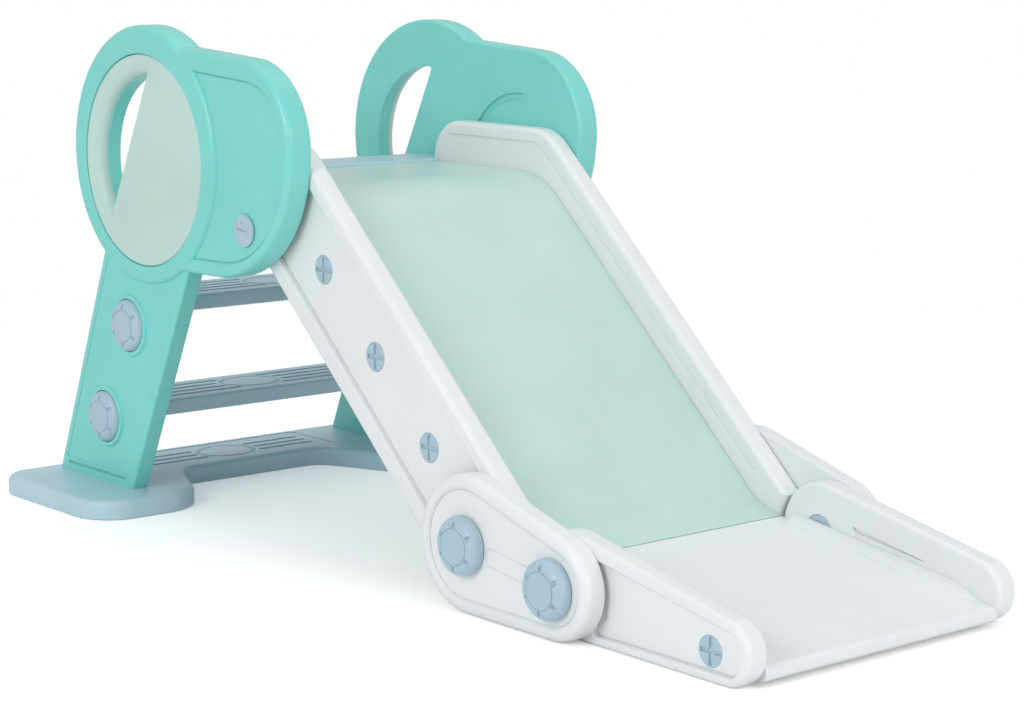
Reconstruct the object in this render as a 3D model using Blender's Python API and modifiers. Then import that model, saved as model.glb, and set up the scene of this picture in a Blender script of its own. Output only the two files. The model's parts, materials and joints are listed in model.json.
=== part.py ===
"""A toddler slide with a folding run-out, modelled as separate pieces.

Units are metres. X runs down the slide, from the ladder at -X to the toe at +X, Y runs across it and Z is up.
The origin is on the floor under the middle of the slide. The left side is at +Y, as a child on the slide sees it.

The slide is two tall side panels that stand on a flat base frame, with two steps and a deck between them. Two
rails run down from the panels with the bed between them. At their lower end two link plates carry the run-out,
and each plate turns on a hand knob at the rail and on another at the run-out.
"""

from math import acos, atan2, ceil, cos, hypot, pi, radians, sin, sqrt, tan

import bmesh
import bpy
from mathutils import Matrix

# Fits and fineness
FIT = 0.0003                # gap between pieces that touch
BORE_CLEARANCE = 0.0005     # radial room of a bolt in its bore
SEAT_CLEARANCE = 0.0004     # radial room of a round piece in its seat
TURNING_CLEARANCE = 0.0010  # radial room of a knob that turns in its seat
CHORD_ERROR = 0.0008        # how far a facet may lie inside its arc
WIDEST_FACET = radians(30)
MERGE = 0.0001
OVERRUN = 0.002             # how far a cutter reaches past the face that it opens
SIDES = {"left": 1, "right": -1}

# Where the slide starts and ends
HEEL_X = -0.7125
TOE_X = 0.7125

# Base frame: a crossbar that serves as the first step, with a foot pad under each panel
BASE_THICKNESS = 0.028
BASE_EDGE_ROUND = 0.009
BASE_SOLE_ROUND = 0.003
BAR_DEPTH = 0.1415
PAD_OUTER_Y = 0.358
PAD_NOSE_X = -0.430
PAD_REAR_ROUND = 0.045
PAD_NOSE_ROUND = 0.060
PAD_INNER_REAR_Y = 0.126
PAD_INNER_NOSE_Y = 0.190
PAD_INNER_ROUND = 0.075
BAR_FILLET = 0.038

# Side panels: a ring at the head, a leg below it and a guard in front of it
PANEL_GAP = 0.464
RING_CENTRE = (-0.4375, 0.511)
RING_RADIUS = 0.180
RING_THICKNESS = 0.040
RING_ROUND = 0.008
PANEL_INNER_ROUND = 0.004
GUARD_THICKNESS = 0.0375
GUARD_SETBACK = 0.0005
GUARD_ROUND = 0.010
GUARD_FRONT_BOTTOM = (-0.109, 0.3625)
GUARD_FRONT_TOP = (-0.076, 0.6465)
GUARD_BOTTOM_RADIUS = 0.172
GUARD_TOP_RADIUS = 0.117
GUARD_BOTTOM_REAR_Z = 0.356
GUARD_TOP_REAR = (-0.400, 0.667)
GUARD_RIM = 0.025
GUARD_RECESS = 0.0035
LEG_SETBACK = 0.006
LEG_THICKNESS = 0.028
LEG_ROUND = 0.003
LEG_FOOT_REAR_X = -0.688
LEG_FOOT_LENGTH = 0.199
LEG_REAR_LEAN = 0.405       # run for each unit of height
LEG_FRONT_LEAN = 0.467
LEG_TOP_Z = 0.400
LEG_TENON_INSET = 0.022
LEG_TENON_THICKNESS = 0.018
LEG_TENON_LENGTH = 0.016
LEG_SLOT_INSET = 0.020
LEG_SLOT_HEIGHT = 0.005
LEG_SLOT_RISE = 0.010
LEG_SLOT_DEPTH = 0.003

# Thumb groove on the guard's inner face
THUMB_GROOVE_CENTRE = (-0.210, 0.487)
THUMB_GROOVE_RADIUS = 0.1065
THUMB_GROOVE_WIDTH = 0.012
THUMB_GROOVE_DEPTH = 0.004
THUMB_GROOVE_ANGLES = (radians(85), radians(148))

# Round inlay in the ring, and the hand hole through both
DISC_RADIUS = 0.150
DISC_THICKNESS = 0.018
DISC_STEP_DOWN = 0.0015
DISC_EDGE_ROUND = 0.0015
HAND_HOLE_RADIUS = 0.120
HAND_HOLE_CHORD = 0.043
HAND_HOLE_ROUND = 0.005
HAND_HOLE_TILT = radians(156.5)
HAND_HOLE_FLARE = 0.024
HAND_HOLE_FACETS = 18
HAND_HOLE_CORNER_FACETS = 4

# Steps between the legs
STEP_TOPS = {"middle": 0.146, "upper": 0.308}
STEP_DEPTH = 0.124
STEP_THICKNESS = 0.023
STEP_SETBACK = 0.002
STEP_END_GAP = 0.001        # from the tread's end to the leg, where only the bosses bear
STEP_ROUND = 0.004
STEP_BOSS_LENGTH = 0.030
STEP_BOSS_HALF_WIDTH = 0.020
STEP_BOSS_REACH = 0.018
STEP_BOSS_ROUND = 0.014

# Tread pattern: grooves across the step, broken by an oval
TREAD_GROOVE_WIDTH = 0.005
TREAD_GROOVE_DEPTH = 0.0025
TREAD_GROOVE_PITCH = 0.023
TREAD_GROOVE_COUNT = 4
BAR_GROOVE_COUNT = 3
TREAD_OVAL_LENGTH = 0.100
TREAD_OVAL_DEPTH = 0.076
TREAD_OVAL_FACETS = 18
TREAD_END_MARGIN = 0.012
BAR_GROOVE_END_Y = 0.150

# Deck behind the bed
DECK_TOP = 0.490
DECK_THICKNESS = 0.024
DECK_REAR_X = -0.452
DECK_REAR_ROUND = 0.035
DECK_EDGE_ROUND = 0.005
DECK_TONGUE_END_X = -0.215
DECK_TONGUE_OVERLAP = 0.030
DECK_TONGUE_SETBACK = 0.012
DECK_PEG_RADIUS = 0.008
DECK_PEG_LENGTH = 0.010
DECK_PEG_INSET = 0.014

# Chute rails: level over the deck, then down at the chute's slope
CHUTE_ANGLE = radians(42.4)
RAIL_TOP = 0.547
RAIL_BEND_X = -0.131
RAIL_REAR_X = -0.380
RAIL_DEPTH = 0.168
RAIL_WIDTH = 0.0317
RAIL_EDGE_ROUND = 0.008
RAIL_BEND_RADIUS = 0.075
RAIL_UNDER_BEND_RADIUS = 0.020
RAIL_REAR_TOP_ROUND = 0.055
RAIL_REAR_BOTTOM_ROUND = 0.020
RAIL_TOP_FLANGE = 0.018
RAIL_BOTTOM_FLANGE = 0.025
RAIL_WEB_RECESS = 0.008
RAIL_WEB_THICKNESS = 0.006
RAIL_RECESS_ROUND = 0.008
RAIL_RECESS_REAR = 0.036
RAIL_BOSS_RADIUS = 0.050
RAIL_HOLLOW_START = 0.100
RAIL_GROOVE_WIDTH = 0.008
RAIL_GROOVE_DEPTH = 0.004
RAIL_GROOVE_END = 0.600
RAIL_GROOVE_ROUND = 0.0035
RAIL_FOOT_CLEARANCE = 0.004
RAIL_HEEL_ROUND = 0.060
RAIL_NOSE_REACH = 0.045
RAIL_NOSE_ROUND = 0.020

# Bed: a sheet between the rails, stiffened by a skirt along each side and by cross ribs
BED_DROP = 0.061
BED_THICKNESS = 0.010
BED_REAR_X = -0.360
BED_BEND_RADIUS = 0.120
BED_FOOT_Z = 0.089
BED_FOOT_RADIUS = 0.060
BED_TIP = (0.3480, 0.0745)
BED_SKIRT_DEPTH = 0.062
BED_SKIRT_WIDTH = 0.012
BED_SKIRT_START_X = -0.190
BED_SKIRT_END_X = 0.262
BED_RIB_DEPTH = 0.036
BED_RIB_THICKNESS = 0.006

# Screws that hold the rails to the bed
RAIL_SCREW_COUNT = 3
RAIL_SCREW_FIRST = 0.1475
RAIL_SCREW_PITCH = 0.149
RAIL_SCREW_DEPTH = 0.0835
RAIL_SCREW_HEAD = 0.0185
SCREW_HEAD_THICKNESS = 0.003
SCREW_SHANK = 0.004
SCREW_BITE = 0.009
SCREW_BOSS = 0.012

# Screws that hold the panels to the rails
GUARD_SCREW = (-0.194, 0.429)
GUARD_SCREW_HEAD = 0.0215
GUARD_SCREW_BITE = 0.008

# Hand knobs
KNOB_RADIUS = 0.037
KNOB_BOLT_RADIUS = 0.006
KNOB_NOTCHES = 6
KNOB_NOTCH_WIDTH = 0.006
KNOB_NOTCH_LENGTH = 0.011
KNOB_NOTCH_DEPTH = 0.003
KNOB_ROUND = 0.006
KNOB_FACETS = 18
LEG_KNOB_HEIGHT = 0.014
LEG_KNOB_Z = {"middle": 0.126, "upper": 0.267}
LEG_KNOB_INSETS = {"middle": 0.09481, "upper": 0.105705}    # level, from the leg's rear edge
LEG_KNOB_SEAT = 0.002
LEG_COLLAR_WIDTH = 0.007
LEG_COLLAR_HEIGHT = 0.003
LEG_BOLT_BITE = 0.024
LINK_KNOB_HEIGHT = 0.019

# Link plates, which stand on the floor on both their round ends
UPPER_PIVOT = (0.256, 0.087)
LOWER_PIVOT = (0.415, 0.0645)
LINK_THICKNESS = 0.030
LINK_RIM = 0.018
LINK_RECESS = 0.003
LINK_ROUND = 0.009
LINK_INNER_ROUND = 0.0015
LINK_STADIUM_WIDTH = 0.024
LINK_STADIUM_START = 0.050
LINK_STADIUM_END = 0.135
LINK_STADIUM_DEPTH = 0.002
NUT_RADIUS = 0.0225
NUT_THICKNESS = 0.0075
NUT_SKIN = 0.002
NUT_RECESS = 0.0002

# Run-out: two rails round about the lower pivot, with a bed between them
RUNOUT_TOE_RADIUS = 0.039
RUNOUT_RUNNING_GAP = 0.005
RUNOUT_EDGE_ROUND = 0.007
RUNOUT_TOP_FLANGE = 0.014
RUNOUT_FOOT_FLANGE = 0.009
RUNOUT_WEB_RECESS = 0.008
RUNOUT_RECESS_REAR = 0.040
RUNOUT_BED_REAR_Z = 0.0745
RUNOUT_BED_TOE_GAP = 0.004
RUNOUT_BED_TOE_Z = 0.0250
RUNOUT_BED_THICKNESS = 0.014
RUNOUT_ROLL_RADIUS = 0.0105
RUNOUT_ROLL_HEIGHT = 0.0230
RUNOUT_SCREW_TOE_GAP = 0.0685
RUNOUT_SCREW_Z = 0.0340
RUNOUT_SCREW_SHANK = 0.003
RUNOUT_SCREW_BITE = 0.005
RUNOUT_COVE_WIDTH = 0.014
RUNOUT_COVE_HEIGHT = 0.012
RUNOUT_COVE_LIP = 0.005
RUNOUT_COVE_FACETS = 5
RUNOUT_COVE_START_X = 0.362
RUNOUT_COVE_TOE_GAP = 0.014
RUNOUT_COVE_EASE = 0.012    # the run over which it rises to its full height
RUNOUT_SLIT_START = (0.471, 0.083)
RUNOUT_SLIT_END = (0.592, 0.060)
RUNOUT_SLIT_HEIGHT = 0.007
RUNOUT_SLIT_DEPTH = 0.003

# Planes across the slide, as distances from its middle
PANEL_INNER = PANEL_GAP / 2
RING_OUTER = PANEL_INNER + RING_THICKNESS
GUARD_INNER = PANEL_INNER + GUARD_SETBACK
GUARD_OUTER = GUARD_INNER + GUARD_THICKNESS
GUARD_FACE = GUARD_OUTER - GUARD_RECESS
LEG_INNER = PANEL_INNER + LEG_SETBACK
LEG_OUTER = LEG_INNER + LEG_THICKNESS
DISC_FACE = RING_OUTER - DISC_STEP_DOWN
DISC_BACK = DISC_FACE - DISC_THICKNESS
RAIL_OUTER = PANEL_INNER - FIT
RAIL_INNER = RAIL_OUTER - RAIL_WIDTH
RAIL_WEB = RAIL_OUTER - RAIL_WEB_RECESS
BED_EDGE = RAIL_INNER - FIT
LINK_INNER = RAIL_OUTER + FIT
LINK_OUTER = LINK_INNER + LINK_THICKNESS
LINK_FACE = LINK_OUTER - LINK_RECESS
STEP_END = LEG_INNER - FIT

# Places that keep to the run-out's toe
RUNOUT_BED_TOE = (TOE_X - RUNOUT_BED_TOE_GAP, RUNOUT_BED_TOE_Z)
RUNOUT_SCREW = (TOE_X - RUNOUT_SCREW_TOE_GAP, RUNOUT_SCREW_Z)

# The run-out rail's round end, and the room that the chute leaves round it
RUNOUT_RADIUS = LOWER_PIVOT[1]
RUNOUT_ROOM = RUNOUT_RADIUS + RUNOUT_RUNNING_GAP
BED_Z = RAIL_TOP - BED_DROP

COLOURS = {
    "mint": ((0.235, 0.645, 0.570), 0.42),
    "sage": ((0.480, 0.660, 0.600), 0.45),
    "bed_green": ((0.545, 0.735, 0.690), 0.38),
    "white": ((0.780, 0.805, 0.805), 0.36),
    "blue_grey": ((0.370, 0.500, 0.570), 0.45),
    "knob_blue": ((0.400, 0.545, 0.620), 0.40),
    "screw_lavender": ((0.410, 0.500, 0.600), 0.40),
}


def clear_scene():
    """Remove whatever the scene holds."""
    for item in list(bpy.data.objects):
        bpy.data.objects.remove(item)


def new_collection(name):
    """Make a collection in the scene."""
    group = bpy.data.collections.new(name)
    bpy.context.scene.collection.children.link(group)
    return group


def paint(piece, colour):
    """Give a piece the plastic of one colour."""
    material = bpy.data.materials.get(colour)
    if material is None:
        rgb, roughness = COLOURS[colour]
        material = bpy.data.materials.new(colour)
        material.use_nodes = True
        shader = material.node_tree.nodes["Principled BSDF"]
        shader.inputs["Base Color"].default_value = (*rgb, 1)
        shader.inputs["Roughness"].default_value = roughness
        shader.inputs["Metallic"].default_value = 0
    piece.data.materials.clear()
    piece.data.materials.append(material)


def link_piece(name, mesh):
    """Put a mesh into the scene as a piece of the slide."""
    piece = bpy.data.objects.new(name, mesh)
    bpy.data.collections["slide"].objects.link(piece)
    return piece


def hide_tool(tool):
    """Move an object that only shapes others out of the slide."""
    bpy.data.collections["slide"].objects.unlink(tool)
    bpy.data.collections["cutters"].objects.link(tool)
    tool.hide_render = True
    tool.display_type = "WIRE"


def combine(piece, tool, operation):
    """Shape a piece with another object."""
    modifier = piece.modifiers.new(tool.name, "BOOLEAN")
    modifier.operation = operation
    modifier.object = tool
    weld = piece.modifiers.new(f"{tool.name}_weld", "WELD")
    weld.merge_threshold = MERGE / 10
    hide_tool(tool)


def cut(piece, tool):
    """Take the tool's shape out of a piece."""
    combine(piece, tool, "DIFFERENCE")


def join(piece, tool):
    """Fuse the tool's shape with a piece."""
    combine(piece, tool, "UNION")


def arc_step(radius):
    """Return the angle between an arc's points that keeps its facets within the chord error."""
    return min(WIDEST_FACET, 2 * acos(max(0.0, 1 - CHORD_ERROR / radius)))


def arc(centre, radius, start, end):
    """Return points along an arc, both its ends included."""
    count = max(2, ceil(abs(end - start) / arc_step(radius)))
    angles = [start + (end - start) * i / count for i in range(count + 1)]
    return [(centre[0] + radius * cos(a), centre[1] + radius * sin(a)) for a in angles]


def circle(centre, radius):
    """Return the points of a full circle."""
    return arc(centre, radius, 0, 2 * pi)[:-1]


def sharp(points):
    """Mark outline points as corners without rounding."""
    return [(x, z, 0) for x, z in points]


def rounded(corners):
    """Return the outline through corners (x, z, radius), each with its own fillet."""
    outline = []
    for i, (x, z, radius) in enumerate(corners):
        before = corners[i - 1]
        after = corners[(i + 1) % len(corners)]
        into = (x - before[0], z - before[1])
        out = (after[0] - x, after[1] - z)
        turn = atan2(into[0] * out[1] - into[1] * out[0], into[0] * out[0] + into[1] * out[1])
        if radius == 0 or abs(turn) < radians(1):
            outline.append((x, z))
            continue
        side = 1 if turn > 0 else -1
        reach = radius * tan(abs(turn) / 2)
        length = hypot(*into)
        start = (x - into[0] / length * reach, z - into[1] / length * reach)
        centre = (start[0] - side * into[1] / length * radius, start[1] + side * into[0] / length * radius)
        first = atan2(start[1] - centre[1], start[0] - centre[0])
        outline += arc(centre, radius, first, first + turn)
    return outline


def belt(first, first_radius, second, second_radius):
    """Return the outline of a belt round two circles."""
    along = (second[0] - first[0], second[1] - first[1])
    heading = atan2(along[1], along[0])
    wrap = acos((first_radius - second_radius) / hypot(*along))
    outline = arc(second, second_radius, heading - wrap, heading + wrap)
    return outline + arc(first, first_radius, heading + wrap, heading - wrap + 2 * pi)


def ribbon(path, thickness):
    """Return the outline of a strip whose top follows corners (x, z, radius) towards +X."""
    under = []
    for i, (x, z, radius) in enumerate(path):
        runs = []
        for a, b in ((i - 1, i), (i, i + 1)):
            if 0 <= a and b < len(path):
                run = (path[b][0] - path[a][0], path[b][1] - path[a][1])
                runs.append((run[0] / hypot(*run), run[1] / hypot(*run)))
        first, last = runs[0], runs[-1]
        mitre = 1 + first[0] * last[0] + first[1] * last[1]
        x_under = x + thickness * (first[1] + last[1]) / mitre
        z_under = z - thickness * (first[0] + last[0]) / mitre
        falls = first[0] * last[1] - first[1] * last[0] < 0
        under_radius = max(0, radius - thickness) if falls else radius + thickness
        under.append((x_under, z_under, under_radius if radius else 0))
    return rounded(under + path[::-1])


def plate(name, outlines, span, upright=True, origin=(0, 0)):
    """Extrude flat outlines between two planes, with any inner outline as a hole.

    An upright plate has its outlines in X and Z and its span along Y. A flat one has them in X and Y and its span
    along Z. The object's origin goes to the given point of the outlines' plane.
    """
    curve = bpy.data.curves.new(name, "CURVE")
    curve.dimensions = "2D"
    curve.fill_mode = "BOTH"
    curve.extrude = abs(span[1] - span[0]) / 2
    for outline in outlines:
        spline = curve.splines.new("POLY")
        spline.points.add(len(outline) - 1)
        spline.use_cyclic_u = True
        for point, (u, v) in zip(spline.points, outline):
            point.co = (u - origin[0], v - origin[1], 0, 1)
    holder = bpy.data.objects.new(f"{name}_outline", curve)
    bpy.context.scene.collection.objects.link(holder)
    middle = (span[0] + span[1]) / 2
    if upright:
        upright_turn = Matrix.Rotation(pi / 2, 4, "X")
        holder.matrix_world = Matrix.Translation((origin[0], middle, origin[1])) @ upright_turn
    else:
        holder.matrix_world = Matrix.Translation((*origin, middle))
    bpy.context.view_layer.update()
    mesh = bpy.data.meshes.new_from_object(holder.evaluated_get(bpy.context.evaluated_depsgraph_get()))
    work = bmesh.new()
    work.from_mesh(mesh)
    bmesh.ops.remove_doubles(work, verts=work.verts, dist=MERGE)
    bmesh.ops.dissolve_limit(work, angle_limit=radians(0.5), verts=work.verts, edges=work.edges)
    bmesh.ops.recalc_face_normals(work, faces=work.faces)
    work.to_mesh(mesh)
    work.free()
    mesh.name = name
    piece = link_piece(name, mesh)
    piece.matrix_world = holder.matrix_world
    bpy.data.objects.remove(holder)
    return piece


def round_rims(piece, widths, segments=2):
    """Round the two rims of a plate, where widths belong to its local +Z and -Z faces."""
    widest = max(widths)
    work = bmesh.new()
    work.from_mesh(piece.data)
    weights = work.edges.layers.float.new("bevel_weight_edge")
    for edge in work.edges:
        heights = [vertex.co.z for vertex in edge.verts]
        if abs(heights[0] - heights[1]) > MERGE or edge.calc_face_angle(0) < radians(30):
            continue
        edge[weights] = (widths[0] if heights[0] > 0 else widths[1]) / widest
    work.to_mesh(piece.data)
    work.free()
    modifier = piece.modifiers.new("rims", "BEVEL")
    modifier.limit_method = "WEIGHT"
    modifier.width = widest
    modifier.segments = segments


def outer_inner(side, outer, inner):
    """Return an upright plate's rim widths in the order of its local faces."""
    return (inner, outer) if side > 0 else (outer, inner)


def turned(name, profile, centre, plane, side, facets=0):
    """Turn a profile of (radius, height) about an axis across the slide.

    The profile runs from its outermost point on the axis out and back to the axis, and heights grow outwards from
    the plane.
    """
    widest = max(radius for radius, height in profile)
    mesh = bpy.data.meshes.new(name)
    links = [(i, i + 1) for i in range(len(profile) - 1)]
    if profile[0][0] > 0:
        links.append((len(profile) - 1, 0))
    mesh.from_pydata([(radius, 0, height) for radius, height in profile], links, [])
    piece = link_piece(name, mesh)
    piece.location = (centre[0], side * plane, centre[1])
    piece.rotation_euler = (-side * pi / 2, 0, 0)
    modifier = piece.modifiers.new("turn", "SCREW")
    modifier.steps = facets or ceil(2 * pi / arc_step(widest))
    modifier.render_steps = modifier.steps
    modifier.use_merge_vertices = True
    modifier.merge_threshold = MERGE
    return piece


def quarter_round(radius, height, rounding, steps=2):
    """Return the profile points that round a turned piece's outer top edge, from its face to its side."""
    angles = [pi / 2 * (1 - i / steps) for i in range(steps + 1)]
    return [(radius - rounding * (1 - cos(a)), height - rounding * (1 - sin(a))) for a in angles]


def rod(name, centre, radius, planes, side):
    """Make a plain cylinder across the slide between two planes."""
    return stepped(name, centre, planes, [radius], side)


def stepped(name, centre, planes, radii, side, facets=0):
    """Make a stepped cylinder across the slide, from the inside out, with one radius between each two planes."""
    profile = [(0, planes[-1] - planes[0])]
    for low, high, radius in list(zip(planes, planes[1:], radii))[::-1]:
        profile += [(radius, high - planes[0]), (radius, low - planes[0])]
    return turned(name, profile + [(0, 0)], centre, planes[0], side, facets)


def chute_point(run, depth):
    """Return the point at a run down the slope from the rails' bend and a depth square under their top."""
    x = RAIL_BEND_X + run * cos(CHUTE_ANGLE) - depth * sin(CHUTE_ANGLE)
    z = RAIL_TOP - run * sin(CHUTE_ANGLE) - depth * cos(CHUTE_ANGLE)
    return (x, z)


def chute_bend(depth):
    """Return where the level stretch at a depth meets the slope at the same depth."""
    return (RAIL_BEND_X - depth * tan(CHUTE_ANGLE / 2), RAIL_TOP - depth)


def chute_run(point):
    """Return how far down the slope a point lies."""
    return (point[0] - RAIL_BEND_X) * cos(CHUTE_ANGLE) + (RAIL_TOP - point[1]) * sin(CHUTE_ANGLE)


def chute_depth(point):
    """Return how deep a point lies square under the rails' sloping top."""
    return (RAIL_TOP - point[1]) * cos(CHUTE_ANGLE) - (point[0] - RAIL_BEND_X) * sin(CHUTE_ANGLE)


def rail_screw_places():
    """Return where the screws sit along the rails."""
    runs = [RAIL_SCREW_FIRST + RAIL_SCREW_PITCH * i for i in range(RAIL_SCREW_COUNT)]
    return [chute_point(run, RAIL_SCREW_DEPTH) for run in runs]


def leg_rear_x(z):
    """Return the leg's rear edge at a height."""
    return LEG_FOOT_REAR_X + LEG_REAR_LEAN * (z - BASE_THICKNESS)


def leg_front_x(z):
    """Return the leg's front edge at a height."""
    return LEG_FOOT_REAR_X + LEG_FOOT_LENGTH + LEG_FRONT_LEAN * (z - BASE_THICKNESS)


def leg_knob_place(level):
    """Return the axis of a knob that holds a step to the leg."""
    z = LEG_KNOB_Z[level]
    return (leg_rear_x(z) + LEG_KNOB_INSETS[level], z)


def leg_tenon_outline(gap):
    """Return the plan of the leg's tenon, grown by a gap, for the left leg."""
    rear = LEG_FOOT_REAR_X + LEG_TENON_INSET - gap
    front = LEG_FOOT_REAR_X + LEG_FOOT_LENGTH - LEG_TENON_INSET + gap
    middle = (LEG_INNER + LEG_OUTER) / 2
    half = LEG_TENON_THICKNESS / 2 + gap
    return [(rear, middle - half), (front, middle - half), (front, middle + half), (rear, middle + half)]


def mirrored(outline, side):
    """Return a plan outline on one side of the slide."""
    return [(x, side * y) for x, y in outline]


def hand_hole_outline(grow=0):
    """Return the outline of the hand hole: a round cut off by a straight edge, with rounded corners.

    The outline grows on its round side only, along the line of its straight edge.
    """
    hole_radius = HAND_HOLE_RADIUS + grow
    u = HAND_HOLE_CHORD + HAND_HOLE_ROUND
    v = sqrt((hole_radius - HAND_HOLE_ROUND) ** 2 - u ** 2)
    opening = atan2(v, u)
    arcs = [
        (0, 0, hole_radius, -opening, opening),
        (u, v, HAND_HOLE_ROUND, opening, pi),
        (u, -v, HAND_HOLE_ROUND, -pi, -opening),
    ]
    outline = []
    counts = [HAND_HOLE_FACETS, HAND_HOLE_CORNER_FACETS, HAND_HOLE_CORNER_FACETS]
    for (centre_u, centre_v, radius, start, end), count in zip(arcs, counts):
        for i in range(count + (centre_v > 0)):
            angle = start + (end - start) * i / count
            along = centre_u + radius * cos(angle)
            across = centre_v + radius * sin(angle)
            outline.append((
                RING_CENTRE[0] + along * cos(HAND_HOLE_TILT) - across * sin(HAND_HOLE_TILT),
                RING_CENTRE[1] + along * sin(HAND_HOLE_TILT) + across * cos(HAND_HOLE_TILT)))
    return outline


def loft(name, rings):
    """Skin a closed solid over rings of points, all with the same count."""
    work = bmesh.new()
    rings = [[work.verts.new(point) for point in ring] for ring in rings]
    for ring, following in zip(rings, rings[1:]):
        for i in range(len(ring)):
            work.faces.new((ring[i - 1], ring[i], following[i], following[i - 1]))
    work.faces.new(rings[0])
    work.faces.new(rings[-1])
    bmesh.ops.recalc_face_normals(work, faces=work.faces)
    mesh = bpy.data.meshes.new(name)
    work.to_mesh(mesh)
    work.free()
    return link_piece(name, mesh)


def hand_hole_flare(name, side):
    """Loft the hand hole through the inlay, with its mouth opening in a quarter round."""
    sections = [(DISC_BACK - OVERRUN, 0)]
    steps = 3
    for i in range(steps + 1):
        angle = pi / 2 * i / steps
        depth = DISC_THICKNESS * (1 - sin(angle))
        sections.append((DISC_FACE - depth, HAND_HOLE_FLARE * (1 - cos(angle))))
    sections.append((DISC_FACE + OVERRUN, HAND_HOLE_FLARE))
    rings = [[(x, side * plane, z) for x, z in hand_hole_outline(grow)] for plane, grow in sections]
    return loft(name, rings)


def box(name, low, high):
    """Make a box between two corners."""
    work = bmesh.new()
    bmesh.ops.create_cube(work, size=1)
    scale = Matrix.Diagonal((*[abs(b - a) for a, b in zip(low, high)], 1))
    middle = Matrix.Translation([(a + b) / 2 for a, b in zip(low, high)])
    bmesh.ops.transform(work, matrix=middle @ scale, verts=work.verts)
    mesh = bpy.data.meshes.new(name)
    work.to_mesh(mesh)
    work.free()
    return link_piece(name, mesh)


def oval(centre_x, length, depth):
    """Return an oval in plan whose length runs across the slide."""
    angles = [2 * pi * i / TREAD_OVAL_FACETS for i in range(TREAD_OVAL_FACETS)]
    return [(centre_x + depth / 2 * cos(a), length / 2 * sin(a)) for a in angles]


def tread_pattern(name, centre_x, top, count, end_y):
    """Make the cutter for a tread: grooves across the step that stop short of an oval line."""
    outlines = [
        oval(centre_x, TREAD_OVAL_LENGTH, TREAD_OVAL_DEPTH),
        oval(centre_x, TREAD_OVAL_LENGTH - 2 * TREAD_GROOVE_WIDTH, TREAD_OVAL_DEPTH - 2 * TREAD_GROOVE_WIDTH),
    ]
    for i in range(count):
        offset = (i - (count - 1) / 2) * TREAD_GROOVE_PITCH
        low = centre_x + offset - TREAD_GROOVE_WIDTH / 2
        high = low + TREAD_GROOVE_WIDTH
        nearest = max(0, abs(offset) - TREAD_GROOVE_WIDTH / 2) / (TREAD_OVAL_DEPTH / 2)
        clear_y = TREAD_OVAL_LENGTH / 2 * sqrt(1 - nearest ** 2) + TREAD_GROOVE_WIDTH
        for side in SIDES.values():
            outlines.append([
                (low, side * clear_y), (high, side * clear_y), (high, side * end_y), (low, side * end_y)])
    return plate(name, outlines, (top - TREAD_GROOVE_DEPTH, top + OVERRUN), upright=False)


def make_base_frame():
    """Build the base frame: the crossbar and both foot pads in one moulding."""
    bar_front = HEEL_X + BAR_DEPTH
    half = [
        (bar_front, PAD_INNER_REAR_Y, BAR_FILLET),
        (PAD_NOSE_X, PAD_INNER_NOSE_Y, PAD_INNER_ROUND),
        (PAD_NOSE_X, PAD_OUTER_Y, PAD_NOSE_ROUND),
        (HEEL_X, PAD_OUTER_Y, PAD_REAR_ROUND),
    ]
    other = [(x, -y, radius) for x, y, radius in reversed(half)]
    base = plate("base_frame", [rounded(half + other)], (0, BASE_THICKNESS), upright=False)
    round_rims(base, (BASE_EDGE_ROUND, BASE_SOLE_ROUND))
    middle = (HEEL_X + bar_front) / 2
    cut(base, tread_pattern("bar_tread", middle, BASE_THICKNESS, BAR_GROOVE_COUNT, BAR_GROOVE_END_Y))
    floor = BASE_THICKNESS - LEG_TENON_LENGTH - FIT
    for name, side in SIDES.items():
        pocket = plate(
            f"leg_pocket_{name}", [mirrored(leg_tenon_outline(FIT), side)], (floor, BASE_THICKNESS + OVERRUN),
            upright=False)
        cut(base, pocket)
    paint(base, "blue_grey")


def guard_outline(inset=0):
    """Return the guard's outline, whose rear end lies inside the ring."""
    rear_x = RING_CENTRE[0]
    corners = [
        (rear_x, GUARD_BOTTOM_REAR_Z, 0),
        (*GUARD_FRONT_BOTTOM, GUARD_BOTTOM_RADIUS),
        (*GUARD_FRONT_TOP, GUARD_TOP_RADIUS),
        (*GUARD_TOP_REAR, 0),
    ]
    if inset == 0:
        return rounded(corners)
    return rounded([
        (rear_x, corners[0][1] + inset, 0),
        (corners[1][0] - inset, corners[1][1] + inset, GUARD_BOTTOM_RADIUS - inset),
        (corners[2][0] - inset, corners[2][1] - inset, GUARD_TOP_RADIUS - inset),
        (corners[3][0], corners[3][1] - inset, 0),
    ])


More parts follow.
